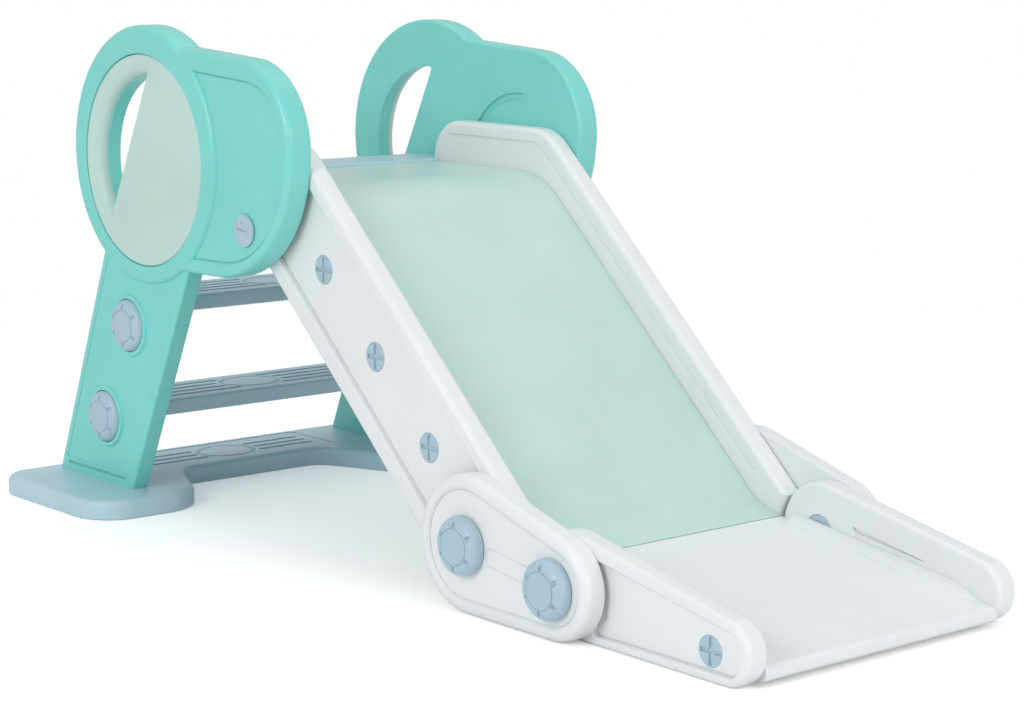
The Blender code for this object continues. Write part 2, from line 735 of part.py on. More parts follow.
def make_leg(name, side):
    """Build a leg with its collars, its slot and the tenon that plugs into the base."""
    foot = BASE_THICKNESS + FIT
    leg = plate(f"leg_{name}", [[
        (leg_rear_x(foot), foot), (leg_front_x(foot), foot),
        (leg_front_x(LEG_TOP_Z), LEG_TOP_Z), (leg_rear_x(LEG_TOP_Z), LEG_TOP_Z),
    ]], (side * LEG_INNER, side * LEG_OUTER))
    rounding = leg.modifiers.new("edges", "BEVEL")
    rounding.width = LEG_ROUND
    rounding.segments = 2
    for level in LEG_KNOB_Z:
        place = leg_knob_place(level)
        collar_radius = KNOB_RADIUS + TURNING_CLEARANCE + LEG_COLLAR_WIDTH
        planes = (LEG_OUTER - OVERRUN, LEG_OUTER + LEG_COLLAR_HEIGHT)
        join(leg, rod(f"collar_{level}_{name}", place, collar_radius, planes, side))
    tenon = plate(
        f"tenon_{name}", [mirrored(leg_tenon_outline(0), side)],
        (BASE_THICKNESS - LEG_TENON_LENGTH, foot + LEG_ROUND + OVERRUN), upright=False)
    join(leg, tenon)
    slot_low = foot + LEG_SLOT_RISE
    slot_high = slot_low + LEG_SLOT_HEIGHT
    slot = plate(f"leg_slot_{name}", [[
        (leg_rear_x(slot_low) + LEG_SLOT_INSET, slot_low), (leg_front_x(slot_low) - LEG_SLOT_INSET, slot_low),
        (leg_front_x(slot_high) - LEG_SLOT_INSET, slot_high),
        (leg_rear_x(slot_high) + LEG_SLOT_INSET, slot_high),
    ]], (side * (LEG_OUTER - LEG_SLOT_DEPTH), side * (LEG_OUTER + OVERRUN)))
    cut(leg, slot)
    return leg


def make_side_panel(name, side):
    """Build a side panel: guard, leg and ring in one moulding, with its seats and holes."""
    panel = plate(f"side_panel_{name}", [guard_outline()], (side * GUARD_INNER, side * GUARD_OUTER))
    round_rims(panel, outer_inner(side, GUARD_ROUND, PANEL_INNER_ROUND))
    cut(panel, plate(
        f"guard_recess_{name}", [guard_outline(GUARD_RIM)],
        (side * GUARD_FACE, side * (GUARD_OUTER + OVERRUN))))
    join(panel, make_leg(name, side))
    back = [(RING_RADIUS, PANEL_INNER_ROUND), (RING_RADIUS - PANEL_INNER_ROUND, 0)]
    profile = [(0, RING_THICKNESS), *quarter_round(RING_RADIUS, RING_THICKNESS, RING_ROUND), *back, (0, 0)]
    ring = turned(f"ring_{name}", profile, RING_CENTRE, PANEL_INNER, side)
    join(panel, ring)
    seat_floor = DISC_BACK - FIT
    seat_radius = DISC_RADIUS + SEAT_CLEARANCE
    cut(panel, rod(f"disc_seat_{name}", RING_CENTRE, seat_radius, (seat_floor, RING_OUTER + OVERRUN), side))
    cut(panel, plate(
        f"hand_hole_{name}", [hand_hole_outline()],
        (side * (PANEL_INNER - OVERRUN), side * (seat_floor + OVERRUN))))
    for level in LEG_KNOB_Z:
        place = leg_knob_place(level)
        planes = (LEG_INNER - OVERRUN, LEG_OUTER - LEG_KNOB_SEAT, LEG_OUTER + LEG_COLLAR_HEIGHT + OVERRUN)
        radii = (KNOB_BOLT_RADIUS + BORE_CLEARANCE, KNOB_RADIUS + TURNING_CLEARANCE)
        cut(panel, stepped(f"knob_seat_{level}_{name}", place, planes, radii, side, KNOB_FACETS))
    cut(panel, rod(
        f"guard_bore_{name}", GUARD_SCREW, SCREW_SHANK + BORE_CLEARANCE,
        (PANEL_INNER - OVERRUN, GUARD_OUTER), side))
    cut(panel, rod(
        f"peg_socket_{name}", deck_peg_place(), DECK_PEG_RADIUS + BORE_CLEARANCE,
        (PANEL_INNER - OVERRUN, PANEL_INNER + DECK_PEG_LENGTH + FIT), side))
    half_width = THUMB_GROOVE_WIDTH / 2
    first, last = THUMB_GROOVE_ANGLES
    groove = arc(THUMB_GROOVE_CENTRE, THUMB_GROOVE_RADIUS + half_width, first, last)
    groove += arc(THUMB_GROOVE_CENTRE, THUMB_GROOVE_RADIUS - half_width, last, first)
    cut(panel, plate(
        f"thumb_groove_{name}", [groove],
        (side * (PANEL_INNER - OVERRUN), side * (PANEL_INNER + THUMB_GROOVE_DEPTH))))
    paint(panel, "mint")


def make_head_disc(name, side):
    """Build the round inlay, with the flared mouth of the hand hole."""
    rim = [(DISC_RADIUS - DISC_EDGE_ROUND, DISC_THICKNESS), (DISC_RADIUS, DISC_THICKNESS - DISC_EDGE_ROUND)]
    profile = [(0, DISC_THICKNESS), *rim, (DISC_RADIUS, 0), (0, 0)]
    disc = turned(f"head_disc_{name}", profile, RING_CENTRE, DISC_BACK, side)
    cut(disc, hand_hole_flare(f"hand_hole_mouth_{name}", side))
    paint(disc, "sage")


def make_step(level):
    """Build a step, with a boss at each end for the knob's bolt."""
    top = STEP_TOPS[level]
    rear = leg_rear_x(top) + STEP_SETBACK
    tread_end = LEG_INNER - STEP_END_GAP
    step = box(f"step_{level}", (rear, -tread_end, top - STEP_THICKNESS), (rear + STEP_DEPTH, tread_end, top))
    rounding = step.modifiers.new("edges", "BEVEL")
    rounding.width = STEP_ROUND
    rounding.segments = 2
    x, z = leg_knob_place(level)
    boss_top = top - STEP_ROUND
    for name, side in SIDES.items():
        boss = plate(f"step_boss_{level}_{name}", [rounded([
            (x - STEP_BOSS_HALF_WIDTH, boss_top, 0),
            (x - STEP_BOSS_HALF_WIDTH, z - STEP_BOSS_REACH, STEP_BOSS_ROUND),
            (x + STEP_BOSS_HALF_WIDTH, z - STEP_BOSS_REACH, STEP_BOSS_ROUND),
            (x + STEP_BOSS_HALF_WIDTH, boss_top, 0),
        ])], (side * (STEP_END - STEP_BOSS_LENGTH), side * STEP_END))
        join(step, boss)
    for name, side in SIDES.items():
        cut(step, rod(
            f"step_bore_{level}_{name}", (x, z), KNOB_BOLT_RADIUS + BORE_CLEARANCE,
            (STEP_END - LEG_BOLT_BITE - FIT, STEP_END + OVERRUN), side))
    end_y = STEP_END - TREAD_END_MARGIN
    cut(step, tread_pattern(f"tread_{level}", rear + STEP_DEPTH / 2, top, TREAD_GROOVE_COUNT, end_y))
    paint(step, "blue_grey")


def deck_peg_place():
    """Return the axis of the pegs that carry the deck in the panels."""
    return (RAIL_REAR_X - FIT - DECK_PEG_INSET, DECK_TOP - DECK_THICKNESS / 2)


def make_deck():
    """Build the deck: a board between the panels with a tongue that runs on under the bed."""
    board_end = PANEL_INNER - FIT
    rail_start = RAIL_REAR_X - FIT
    lip_end = BED_REAR_X - FIT
    half = [
        (lip_end, BED_EDGE, 0), (rail_start, BED_EDGE, 0), (rail_start, board_end, 0),
        (DECK_REAR_X, board_end, DECK_REAR_ROUND),
    ]
    other = [(x, -y, radius) for x, y, radius in reversed(half)]
    deck = plate("deck", [rounded(half + other)], (DECK_TOP - DECK_THICKNESS, DECK_TOP), upright=False)
    round_rims(deck, (DECK_EDGE_ROUND, DECK_EDGE_ROUND / 2))
    tongue_top = BED_Z - BED_THICKNESS - FIT
    tongue_y = BED_EDGE - DECK_TONGUE_SETBACK
    join(deck, box(
        "deck_tongue", (lip_end - DECK_TONGUE_OVERLAP, -tongue_y, tongue_top - DECK_THICKNESS),
        (DECK_TONGUE_END_X, tongue_y, tongue_top)))
    for name, side in SIDES.items():
        planes = (board_end - DECK_REAR_ROUND, PANEL_INNER + DECK_PEG_LENGTH)
        join(deck, rod(f"deck_peg_{name}", deck_peg_place(), DECK_PEG_RADIUS, planes, side))
    paint(deck, "blue_grey")


def rail_outline():
    """Return the chute rail's outline, hollowed at its foot for the run-out's round end."""
    pivot_x, pivot_z = LOWER_PIVOT
    reach = sqrt(RUNOUT_ROOM ** 2 - chute_depth(LOWER_PIVOT) ** 2)
    top_end = chute_point(chute_run(LOWER_PIVOT) - reach, 0)
    start = atan2(top_end[1] - pivot_z, top_end[0] - pivot_x)
    under_bend = chute_bend(RAIL_DEPTH)
    heel_x = under_bend[0] + (under_bend[1] - RAIL_FOOT_CLEARANCE) / tan(CHUTE_ANGLE)
    return rounded([
        (RAIL_REAR_X, RAIL_TOP - RAIL_DEPTH, RAIL_REAR_BOTTOM_ROUND),
        (*under_bend, RAIL_UNDER_BEND_RADIUS),
        (heel_x, RAIL_FOOT_CLEARANCE, RAIL_HEEL_ROUND),
        (UPPER_PIVOT[0] + RAIL_NOSE_REACH, RAIL_FOOT_CLEARANCE, RAIL_NOSE_ROUND),
        *sharp(arc(LOWER_PIVOT, RUNOUT_ROOM, pi, start)),
        (RAIL_BEND_X, RAIL_TOP, RAIL_BEND_RADIUS),
        (RAIL_REAR_X, RAIL_TOP, RAIL_REAR_TOP_ROUND),
    ])


def rail_band(top_depth, bottom_depth, rear_x, end_run, radius):
    """Return the outline of a band of the rail between two depths."""
    return rounded([
        (rear_x, RAIL_TOP - bottom_depth, radius),
        (*chute_bend(bottom_depth), max(radius, RAIL_BEND_RADIUS - bottom_depth)),
        (*chute_point(end_run, bottom_depth), radius),
        (*chute_point(end_run, top_depth), radius),
        (*chute_bend(top_depth), max(radius, RAIL_BEND_RADIUS - top_depth)),
        (rear_x, RAIL_TOP - top_depth, radius),
    ])


def make_chute_rail(name, side):
    """Build a chute rail: an I section with a recessed web, seats for its screws and a bore at the pivot."""
    rail = plate(f"chute_rail_{name}", [rail_outline()], (side * RAIL_INNER, side * RAIL_OUTER))
    round_rims(rail, outer_inner(side, RAIL_EDGE_ROUND, RAIL_EDGE_ROUND))
    recess_end = chute_run(UPPER_PIVOT) - RAIL_BOSS_RADIUS
    recess_rear = RAIL_REAR_X + RAIL_RECESS_REAR
    recess = rail_band(
        RAIL_TOP_FLANGE, RAIL_DEPTH - RAIL_BOTTOM_FLANGE, recess_rear, recess_end, RAIL_RECESS_ROUND)
    cut(rail, plate(f"web_recess_{name}", [recess], (side * RAIL_WEB, side * (RAIL_OUTER + OVERRUN))))
    hollow_top = BED_DROP * cos(CHUTE_ANGLE) + BED_THICKNESS
    hollow_bottom = RAIL_DEPTH - RAIL_BOTTOM_FLANGE
    hollow = rounded([
        (*chute_point(RAIL_HOLLOW_START, hollow_top), RAIL_RECESS_ROUND),
        (*chute_point(RAIL_HOLLOW_START, hollow_bottom), RAIL_RECESS_ROUND),
        (*chute_point(recess_end, hollow_bottom), RAIL_RECESS_ROUND),
        (*chute_point(recess_end, hollow_top), RAIL_RECESS_ROUND),
    ])
    bosses = [circle(place, SCREW_BOSS) for place in rail_screw_places()]
    cut(rail, plate(
        f"rail_hollow_{name}", [hollow, *bosses],
        (side * (RAIL_INNER - OVERRUN), side * (RAIL_WEB - RAIL_WEB_THICKNESS))))
    groove = rail_band(
        RAIL_TOP_FLANGE, RAIL_TOP_FLANGE + RAIL_GROOVE_WIDTH, recess_rear, RAIL_GROOVE_END, RAIL_GROOVE_ROUND)
    cut(rail, plate(
        f"rail_groove_{name}", [groove],
        (side * (RAIL_INNER - OVERRUN), side * (RAIL_INNER + RAIL_GROOVE_DEPTH))))
    planes = (RAIL_INNER - OVERRUN, RAIL_WEB - SCREW_HEAD_THICKNESS - FIT, RAIL_WEB + OVERRUN)
    radii = (SCREW_SHANK + BORE_CLEARANCE, RAIL_SCREW_HEAD + SEAT_CLEARANCE)
    for i, place in enumerate(rail_screw_places(), 1):
        cut(rail, stepped(f"screw_seat_{i}_{name}", place, planes, radii, side))
    cut(rail, rod(
        f"guard_screw_bore_{name}", GUARD_SCREW, SCREW_SHANK + BORE_CLEARANCE,
        (RAIL_WEB - GUARD_SCREW_BITE - FIT, RAIL_WEB + OVERRUN), side))
    cut_pivot(rail, f"upper_{name}", UPPER_PIVOT, side)
    paint(rail, "white")


def cut_pivot(rail, name, pivot, side):
    """Cut the bore for a knob's bolt through a rail, with the seat for its nut in the inner face."""
    planes = (RAIL_INNER - OVERRUN, RAIL_INNER + NUT_RECESS + NUT_THICKNESS + FIT, RAIL_OUTER + OVERRUN)
    radii = (NUT_RADIUS + SEAT_CLEARANCE, KNOB_BOLT_RADIUS + BORE_CLEARANCE)
    cut(rail, stepped(f"pivot_seat_{name}", pivot, planes, radii, side))


def bed_path():
    """Return the line of the bed's top, as corners with their radii."""
    foot_x = RAIL_BEND_X + (BED_Z - BED_FOOT_Z) / tan(CHUTE_ANGLE)
    return [
        (BED_REAR_X, BED_Z, 0),
        (RAIL_BEND_X, BED_Z, BED_BEND_RADIUS),
        (foot_x, BED_FOOT_Z, BED_FOOT_RADIUS),
        (*BED_TIP, 0),
    ]


def slope_z(x):
    """Return the bed's top height on its slope."""
    return BED_Z - (x - RAIL_BEND_X) * tan(CHUTE_ANGLE)


def make_slide_bed():
    """Build the bed: a curved sheet with a skirt along each rail and ribs between the skirts."""
    bed = plate("slide_bed", [ribbon(bed_path(), BED_THICKNESS)], (-BED_EDGE, BED_EDGE))
    skirt_path = [
        (BED_SKIRT_START_X, BED_Z, 0), (RAIL_BEND_X, BED_Z, BED_BEND_RADIUS / 3),
        (BED_SKIRT_END_X, slope_z(BED_SKIRT_END_X), 0),
    ]
    sunk = [(x, z - BED_THICKNESS / 2, radius) for x, z, radius in skirt_path]
    for name, side in SIDES.items():
        skirt = plate(f"bed_skirt_{name}", [ribbon(sunk, BED_SKIRT_DEPTH)],
                      (side * (BED_EDGE - BED_SKIRT_WIDTH), side * BED_EDGE))
        join(bed, skirt)
    inner_y = BED_EDGE - BED_SKIRT_WIDTH / 2
    for i, (x, z) in enumerate(rail_screw_places(), 1):
        run = chute_run((x, z))
        top_depth = BED_DROP * cos(CHUTE_ANGLE) + BED_THICKNESS / 2
        half = BED_RIB_THICKNESS / 2
        rib = [chute_point(run - half, top_depth + BED_RIB_DEPTH), chute_point(run + half, top_depth + BED_RIB_DEPTH),
               chute_point(run + half, top_depth), chute_point(run - half, top_depth)]
        join(bed, plate(f"bed_rib_{i}", [rib], (-inner_y, inner_y)))
        for name, side in SIDES.items():
            cut(bed, rod(
                f"bed_bore_{i}_{name}", (x, z), SCREW_SHANK + BORE_CLEARANCE,
                (BED_EDGE - SCREW_BITE - FIT, BED_EDGE + OVERRUN), side))
    paint(bed, "bed_green")


def screw(name, place, head, head_plane, tip_plane, side, shank=SCREW_SHANK):
    """Build a flat-headed screw from its head's outer plane to its tip."""
    length = head_plane - tip_plane
    shoulder = length - SCREW_HEAD_THICKNESS
    profile = [(0, length), (head, length), (head, shoulder), (shank, shoulder), (shank, 0), (0, 0)]
    return turned(name, profile, place, tip_plane, side)


def make_rail_screws(name, side):
    """Build one side's screws between rail and bed."""
    for i, place in enumerate(rail_screw_places(), 1):
        piece = screw(f"rail_screw_{i}_{name}", place, RAIL_SCREW_HEAD, RAIL_WEB, BED_EDGE - SCREW_BITE, side)
        paint(piece, "knob_blue")


def make_guard_screw(name, side):
    """Build the screw that holds a panel's guard to its rail."""
    head_plane = GUARD_FACE + FIT + SCREW_HEAD_THICKNESS
    piece = screw(
        f"guard_screw_{name}", GUARD_SCREW, GUARD_SCREW_HEAD, head_plane, RAIL_WEB - GUARD_SCREW_BITE, side)
    paint(piece, "screw_lavender")


def make_knob(name, place, seat_plane, height, tip_plane, side, colour):
    """Build a hand knob with its bolt: a round grip with notches in its rim."""
    bolt = seat_plane - tip_plane
    top = bolt + height
    rim = quarter_round(KNOB_RADIUS, top, KNOB_ROUND)
    profile = [
        (0, top), *rim, (KNOB_RADIUS, bolt), (KNOB_BOLT_RADIUS, bolt), (KNOB_BOLT_RADIUS, 0), (0, 0),
    ]
    knob = turned(name, profile, place, tip_plane, side, KNOB_FACETS)
    work = bmesh.new()
    for i in range(KNOB_NOTCHES):
        made = bmesh.ops.create_cube(work, size=1)["verts"]
        size = Matrix.Diagonal((2 * KNOB_NOTCH_LENGTH, KNOB_NOTCH_WIDTH, 2 * KNOB_NOTCH_DEPTH, 1))
        spin = Matrix.Rotation(2 * pi * (i + 0.5) / KNOB_NOTCHES, 4, "Z")
        bmesh.ops.transform(work, matrix=spin @ Matrix.Translation((KNOB_RADIUS, 0, top)) @ size, verts=made)
    mesh = bpy.data.meshes.new(f"{name}_notches")
    work.to_mesh(mesh)
    work.free()
    notches = link_piece(f"{name}_notches", mesh)
    notches.matrix_world = Matrix.Translation(knob.location) @ Matrix.Rotation(-side * pi / 2, 4, "X")
    cut(knob, notches)
    paint(knob, colour)


def make_nut(name, pivot, side):
    """Build the flush nut that a link knob's bolt screws into."""
    hole = KNOB_BOLT_RADIUS + BORE_CLEARANCE
    profile = [(0, NUT_SKIN), (hole, NUT_SKIN), (hole, NUT_THICKNESS), (NUT_RADIUS, NUT_THICKNESS), (NUT_RADIUS, 0),
               (0, 0)]
    nut = turned(f"link_nut_{name}", profile, pivot, RAIL_INNER + NUT_RECESS, side)
    paint(nut, "knob_blue")


def make_link_plate(name, side):
    """Build a link plate: a belt about both pivots with a raised rim and a sunk face."""
    outline = belt(UPPER_PIVOT, UPPER_PIVOT[1], LOWER_PIVOT, LOWER_PIVOT[1])
    link = plate(f"link_plate_{name}", [outline], (side * LINK_INNER, side * LINK_OUTER), origin=UPPER_PIVOT)
    round_rims(link, outer_inner(side, LINK_ROUND, LINK_INNER_ROUND))
    sunk = belt(UPPER_PIVOT, UPPER_PIVOT[1] - LINK_RIM, LOWER_PIVOT, LOWER_PIVOT[1] - LINK_RIM)
    cut(link, plate(f"link_recess_{name}", [sunk], (side * LINK_FACE, side * (LINK_OUTER + OVERRUN))))
    along = (LOWER_PIVOT[0] - UPPER_PIVOT[0], LOWER_PIVOT[1] - UPPER_PIVOT[1])
    length = hypot(*along)
    start, end = [
        (UPPER_PIVOT[0] + along[0] / length * run, UPPER_PIVOT[1] + along[1] / length * run)
        for run in (LINK_STADIUM_START, LINK_STADIUM_END)]
    stadium = belt(start, LINK_STADIUM_WIDTH / 2, end, LINK_STADIUM_WIDTH / 2)
    cut(link, plate(
        f"link_stadium_{name}", [stadium],
        (side * (LINK_FACE - LINK_STADIUM_DEPTH), side * (LINK_FACE + OVERRUN))))
    for level, pivot in {"upper": UPPER_PIVOT, "lower": LOWER_PIVOT}.items():
        cut(link, rod(
            f"link_bore_{level}_{name}", pivot, KNOB_BOLT_RADIUS + BORE_CLEARANCE,
            (LINK_INNER - OVERRUN, LINK_OUTER), side))
    paint(link, "white")


def make_runout_rail(name, side):
    """Build a run-out rail: round about the lower pivot, flat on the floor, with a sunk web."""
    toe_centre = (TOE_X - RUNOUT_TOE_RADIUS, RUNOUT_TOE_RADIUS)
    outline = belt(LOWER_PIVOT, RUNOUT_RADIUS, toe_centre, RUNOUT_TOE_RADIUS)
    rail = plate(f"runout_rail_{name}", [outline], (side * RAIL_INNER, side * RAIL_OUTER), origin=LOWER_PIVOT)
    round_rims(rail, outer_inner(side, RUNOUT_EDGE_ROUND, RUNOUT_EDGE_ROUND))
    slope = atan2(RUNOUT_RADIUS - RUNOUT_TOE_RADIUS, (toe_centre[0] - LOWER_PIVOT[0]) / 2)
    rear_x = LOWER_PIVOT[0] + RUNOUT_RECESS_REAR
    top_z = 2 * RUNOUT_RADIUS - RUNOUT_RECESS_REAR * tan(slope) - RUNOUT_TOP_FLANGE
    toe_top_z = top_z - (toe_centre[0] - rear_x) * tan(slope)
    web = rounded([
        (rear_x, RUNOUT_FOOT_FLANGE, RAIL_RECESS_ROUND),
        (TOE_X - RUNOUT_TOP_FLANGE, RUNOUT_FOOT_FLANGE, RUNOUT_TOE_RADIUS / 3),
        (TOE_X - RUNOUT_TOP_FLANGE, toe_top_z, RUNOUT_TOE_RADIUS / 2),
        (rear_x, top_z, RAIL_RECESS_ROUND),
    ])
    web_plane = RAIL_OUTER - RUNOUT_WEB_RECESS
    cut(rail, plate(f"runout_web_{name}", [web], (side * web_plane, side * (RAIL_OUTER + OVERRUN))))
    x0, z0 = RUNOUT_SLIT_START
    slit = [(x0, z0 - RUNOUT_SLIT_HEIGHT), RUNOUT_SLIT_END, (x0, z0)]
    cut(rail, plate(
        f"runout_slit_{name}", [slit],
        (side * (RAIL_INNER - OVERRUN), side * (RAIL_INNER + RUNOUT_SLIT_DEPTH))))
    planes = (RAIL_INNER - OVERRUN, web_plane - SCREW_HEAD_THICKNESS - FIT, web_plane + OVERRUN)
    radii = (RUNOUT_SCREW_SHANK + BORE_CLEARANCE, RAIL_SCREW_HEAD + SEAT_CLEARANCE)
    cut(rail, stepped(f"runout_seat_{name}", RUNOUT_SCREW, planes, radii, side))
    cut_pivot(rail, f"lower_{name}", LOWER_PIVOT, side)
    paint(rail, "white")


def runout_cove(name, rear_top, run, side):
    """Loft the hollow edge with which the run-out's bed rises along one rail."""
    end_x = RUNOUT_BED_TOE[0] - RUNOUT_COVE_TOE_GAP
    depth = RUNOUT_BED_THICKNESS / 2
    stations = (
        (RUNOUT_COVE_START_X, -depth / 2), (RUNOUT_COVE_START_X + RUNOUT_COVE_EASE, RUNOUT_COVE_HEIGHT),
        (end_x - RUNOUT_COVE_EASE, RUNOUT_COVE_HEIGHT), (end_x, -depth / 2))
    angles = [pi / 2 * i / RUNOUT_COVE_FACETS for i in range(RUNOUT_COVE_FACETS + 1)]
    rings = []
    for x, height in stations:
        z = rear_top[1] + (x - rear_top[0]) * run[1] / run[0]
        section = [(BED_EDGE, -depth), (BED_EDGE - RUNOUT_COVE_WIDTH, -depth)]
        section += [(BED_EDGE - RUNOUT_COVE_WIDTH + (RUNOUT_COVE_WIDTH - RUNOUT_COVE_LIP) * sin(a),
                     height * (1 - cos(a))) for a in angles]
        section.append((BED_EDGE, height))
        rings.append([(x, side * y, z + rise) for y, rise in section])
    return loft(name, rings)


def make_runout_bed():
    """Build the run-out's bed, whose rear edge is round about the lower pivot."""
    x, z = LOWER_PIVOT
    radius = RUNOUT_RADIUS
    rise = RUNOUT_BED_REAR_Z - z
    rear_top = (x - sqrt(radius ** 2 - rise ** 2), RUNOUT_BED_REAR_Z)
    run = (RUNOUT_BED_TOE[0] - rear_top[0], RUNOUT_BED_TOE[1] - rear_top[1])
    rear_angle = atan2(rear_top[1] - z, rear_top[0] - x)
    turn = RUNOUT_BED_THICKNESS / radius
    rear = arc(LOWER_PIVOT, radius, rear_angle, rear_angle + turn)
    roll_low_z = RUNOUT_BED_TOE[1] - RUNOUT_ROLL_HEIGHT
    roll_rear_x = RUNOUT_BED_TOE[0] - 2 * RUNOUT_ROLL_RADIUS
    under_z = rear[-1][1] + (roll_rear_x - rear[-1][0]) * run[1] / run[0]
    outline = rounded([
        *sharp(rear), (roll_rear_x, under_z, 0), (roll_rear_x, roll_low_z, RUNOUT_ROLL_RADIUS / 2),
        (RUNOUT_BED_TOE[0], roll_low_z, RUNOUT_ROLL_RADIUS), (*RUNOUT_BED_TOE, RUNOUT_ROLL_RADIUS),
    ])
    bed = plate("runout_bed", [outline], (-BED_EDGE, BED_EDGE), origin=LOWER_PIVOT)
    for name, side in SIDES.items():
        join(bed, runout_cove(f"runout_cove_{name}", rear_top, run, side))
        cut(bed, rod(
            f"runout_bed_bore_{name}", RUNOUT_SCREW, RUNOUT_SCREW_SHANK + BORE_CLEARANCE,
            (BED_EDGE - RUNOUT_SCREW_BITE - FIT, BED_EDGE + OVERRUN), side))
    paint(bed, "white")


def make_runout_screw(name, side):
    """Build the screw between a run-out rail and the run-out's bed."""
    piece = screw(
        f"runout_screw_{name}", RUNOUT_SCREW, RAIL_SCREW_HEAD, RAIL_OUTER - RUNOUT_WEB_RECESS,
        BED_EDGE - RUNOUT_SCREW_BITE, side, RUNOUT_SCREW_SHANK)
    paint(piece, "knob_blue")


def smooth_pieces():
    """Shade every piece smooth, with its hard edges kept."""
    for piece in bpy.data.collections["slide"].objects:
        piece.data.shade_smooth()
        piece.data.set_sharp_from_angle(angle=radians(30))


def main():
    """Build the whole slide."""
    clear_scene()
    new_collection("slide")
    new_collection("cutters")
    make_base_frame()
    make_deck()
    make_slide_bed()
    make_runout_bed()
    for level in STEP_TOPS:
        make_step(level)
    for name, side in SIDES.items():
        make_side_panel(name, side)
        make_head_disc(name, side)
        make_guard_screw(name, side)
        make_chute_rail(name, side)
        make_rail_screws(name, side)
        make_link_plate(name, side)
        make_runout_rail(name, side)
        make_runout_screw(name, side)
        leg_tip = STEP_END - LEG_BOLT_BITE
        for level in LEG_KNOB_Z:
            make_knob(
                f"leg_knob_{level}_{name}", leg_knob_place(level), LEG_OUTER - LEG_KNOB_SEAT + FIT,
                LEG_KNOB_HEIGHT, leg_tip,
                side, "screw_lavender")
        link_tip = RAIL_INNER + NUT_RECESS + NUT_SKIN + FIT
        for level, pivot in {"upper": UPPER_PIVOT, "lower": LOWER_PIVOT}.items():
            make_knob(
                f"link_knob_{level}_{name}", pivot, LINK_FACE + FIT, LINK_KNOB_HEIGHT, link_tip, side,
                "knob_blue")
            make_nut(f"{level}_{name}", pivot, side)
    smooth_pieces()


main()
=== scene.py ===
"""A toddler slide with a folding run-out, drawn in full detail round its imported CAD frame.

Units are metres. X runs down the slide, Y across it with the left side at +Y, and Z is up. Most pieces are
plates: a flat outline whose rims and faces are shaped by stations, which are pairs of an inset from the
outline and a height. An upright plate has its outline in X and Z and its heights along Y, a flat one has them
in X and Y and along Z.
"""

from __future__ import annotations

import json
import logging
from dataclasses import dataclass
from enum import Enum
from math import acos, asin, atan2, ceil, cos, degrees, hypot, pi, radians, sin, sqrt, tan

import bmesh
import bpy
import numpy as np
from mathutils import Matrix
from mathutils.geometry import delaunay_2d_cdt

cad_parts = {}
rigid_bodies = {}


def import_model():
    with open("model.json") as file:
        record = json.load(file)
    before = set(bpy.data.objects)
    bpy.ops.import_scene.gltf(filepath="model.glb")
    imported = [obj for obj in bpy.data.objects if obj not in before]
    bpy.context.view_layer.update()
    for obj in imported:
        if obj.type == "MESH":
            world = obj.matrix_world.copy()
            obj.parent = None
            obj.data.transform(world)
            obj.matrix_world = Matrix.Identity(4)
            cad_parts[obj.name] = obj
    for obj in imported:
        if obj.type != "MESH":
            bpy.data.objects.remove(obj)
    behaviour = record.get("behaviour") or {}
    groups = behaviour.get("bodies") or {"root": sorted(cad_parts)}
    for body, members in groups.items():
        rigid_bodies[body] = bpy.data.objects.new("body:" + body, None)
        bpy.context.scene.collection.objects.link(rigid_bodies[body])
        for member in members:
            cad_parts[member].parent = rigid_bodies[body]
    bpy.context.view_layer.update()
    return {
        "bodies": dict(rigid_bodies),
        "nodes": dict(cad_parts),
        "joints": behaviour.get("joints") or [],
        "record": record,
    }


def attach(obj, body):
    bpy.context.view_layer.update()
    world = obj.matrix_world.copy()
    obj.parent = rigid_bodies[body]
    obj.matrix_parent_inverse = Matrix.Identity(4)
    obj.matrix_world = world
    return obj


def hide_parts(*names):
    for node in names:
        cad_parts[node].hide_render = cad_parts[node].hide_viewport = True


LOG = logging.getLogger("slide")

Spot = tuple[float, float]
Triple = tuple[float, float, float]
Stations = list[Spot]
Mesh = bpy.types.Mesh

ARC_STEP = radians(3)
SMALLEST_TURN = radians(0.5)
SMALLEST_RADIUS = 0.0003
FIT = 0.0003
SIDES = {"left": 1, "right": -1}
RING_CENTRE = (-0.4375, 0.511)
RING_RADIUS = 0.1792
DISC_CENTRE = (-0.4365, 0.504)
DISC_RADIUS = 0.1465
GUARD_SCREW = (-0.194, 0.429)
LEG_KNOBS = {"middle": (-0.5535, 0.126), "upper": (-0.4855, 0.267)}
STEP_TOPS = {"middle": 0.146, "upper": 0.308}
LEG_FOOT = 0.028
LEG_REAR = (-0.688, 0.405)
LEG_FRONT = (-0.489, 0.467)
UPPER_PIVOT = (0.256, 0.087)
LOWER_PIVOT = (0.415, 0.0645)
RUNOUT_SCREW = (0.644, 0.034)
KNOB_RADIUS = 0.037
SCREW_HEAD = 0.0185
NUT_RADIUS = 0.0225
TOE_X = 0.7123
CHUTE_ANGLE = radians(42.4)
RAIL_TOP = 0.547
RAIL_BEND_X = -0.131
RAIL_DEPTH = 0.168
RAIL_REAR_X = -0.380
RAIL_OUTER = 0.2317
RAIL_INNER = 0.2000
RAIL_WEB = 0.2237
RAIL_SCREWS = 3
RAIL_SCREW_RUN = 0.1475
RAIL_SCREW_PITCH = 0.149
RAIL_SCREW_DEPTH = 0.0835
BED_DROP = 0.061
BED_EDGE = 0.1997


class Slot(Enum):
    """The record's material slots."""

    MINT = "mint"
    SAGE = "sage"
    BED = "bed_green"
    WHITE = "white"
    BLUE_GREY = "blue_grey"
    KNOB = "knob_blue"
    SCREW = "screw_lavender"


class Body(Enum):
    """The bodies that several pieces ride on; a knob's body has the name of its node."""

    FRAME = "frame"
    LINKS = "links"
    RUNOUT = "runout"


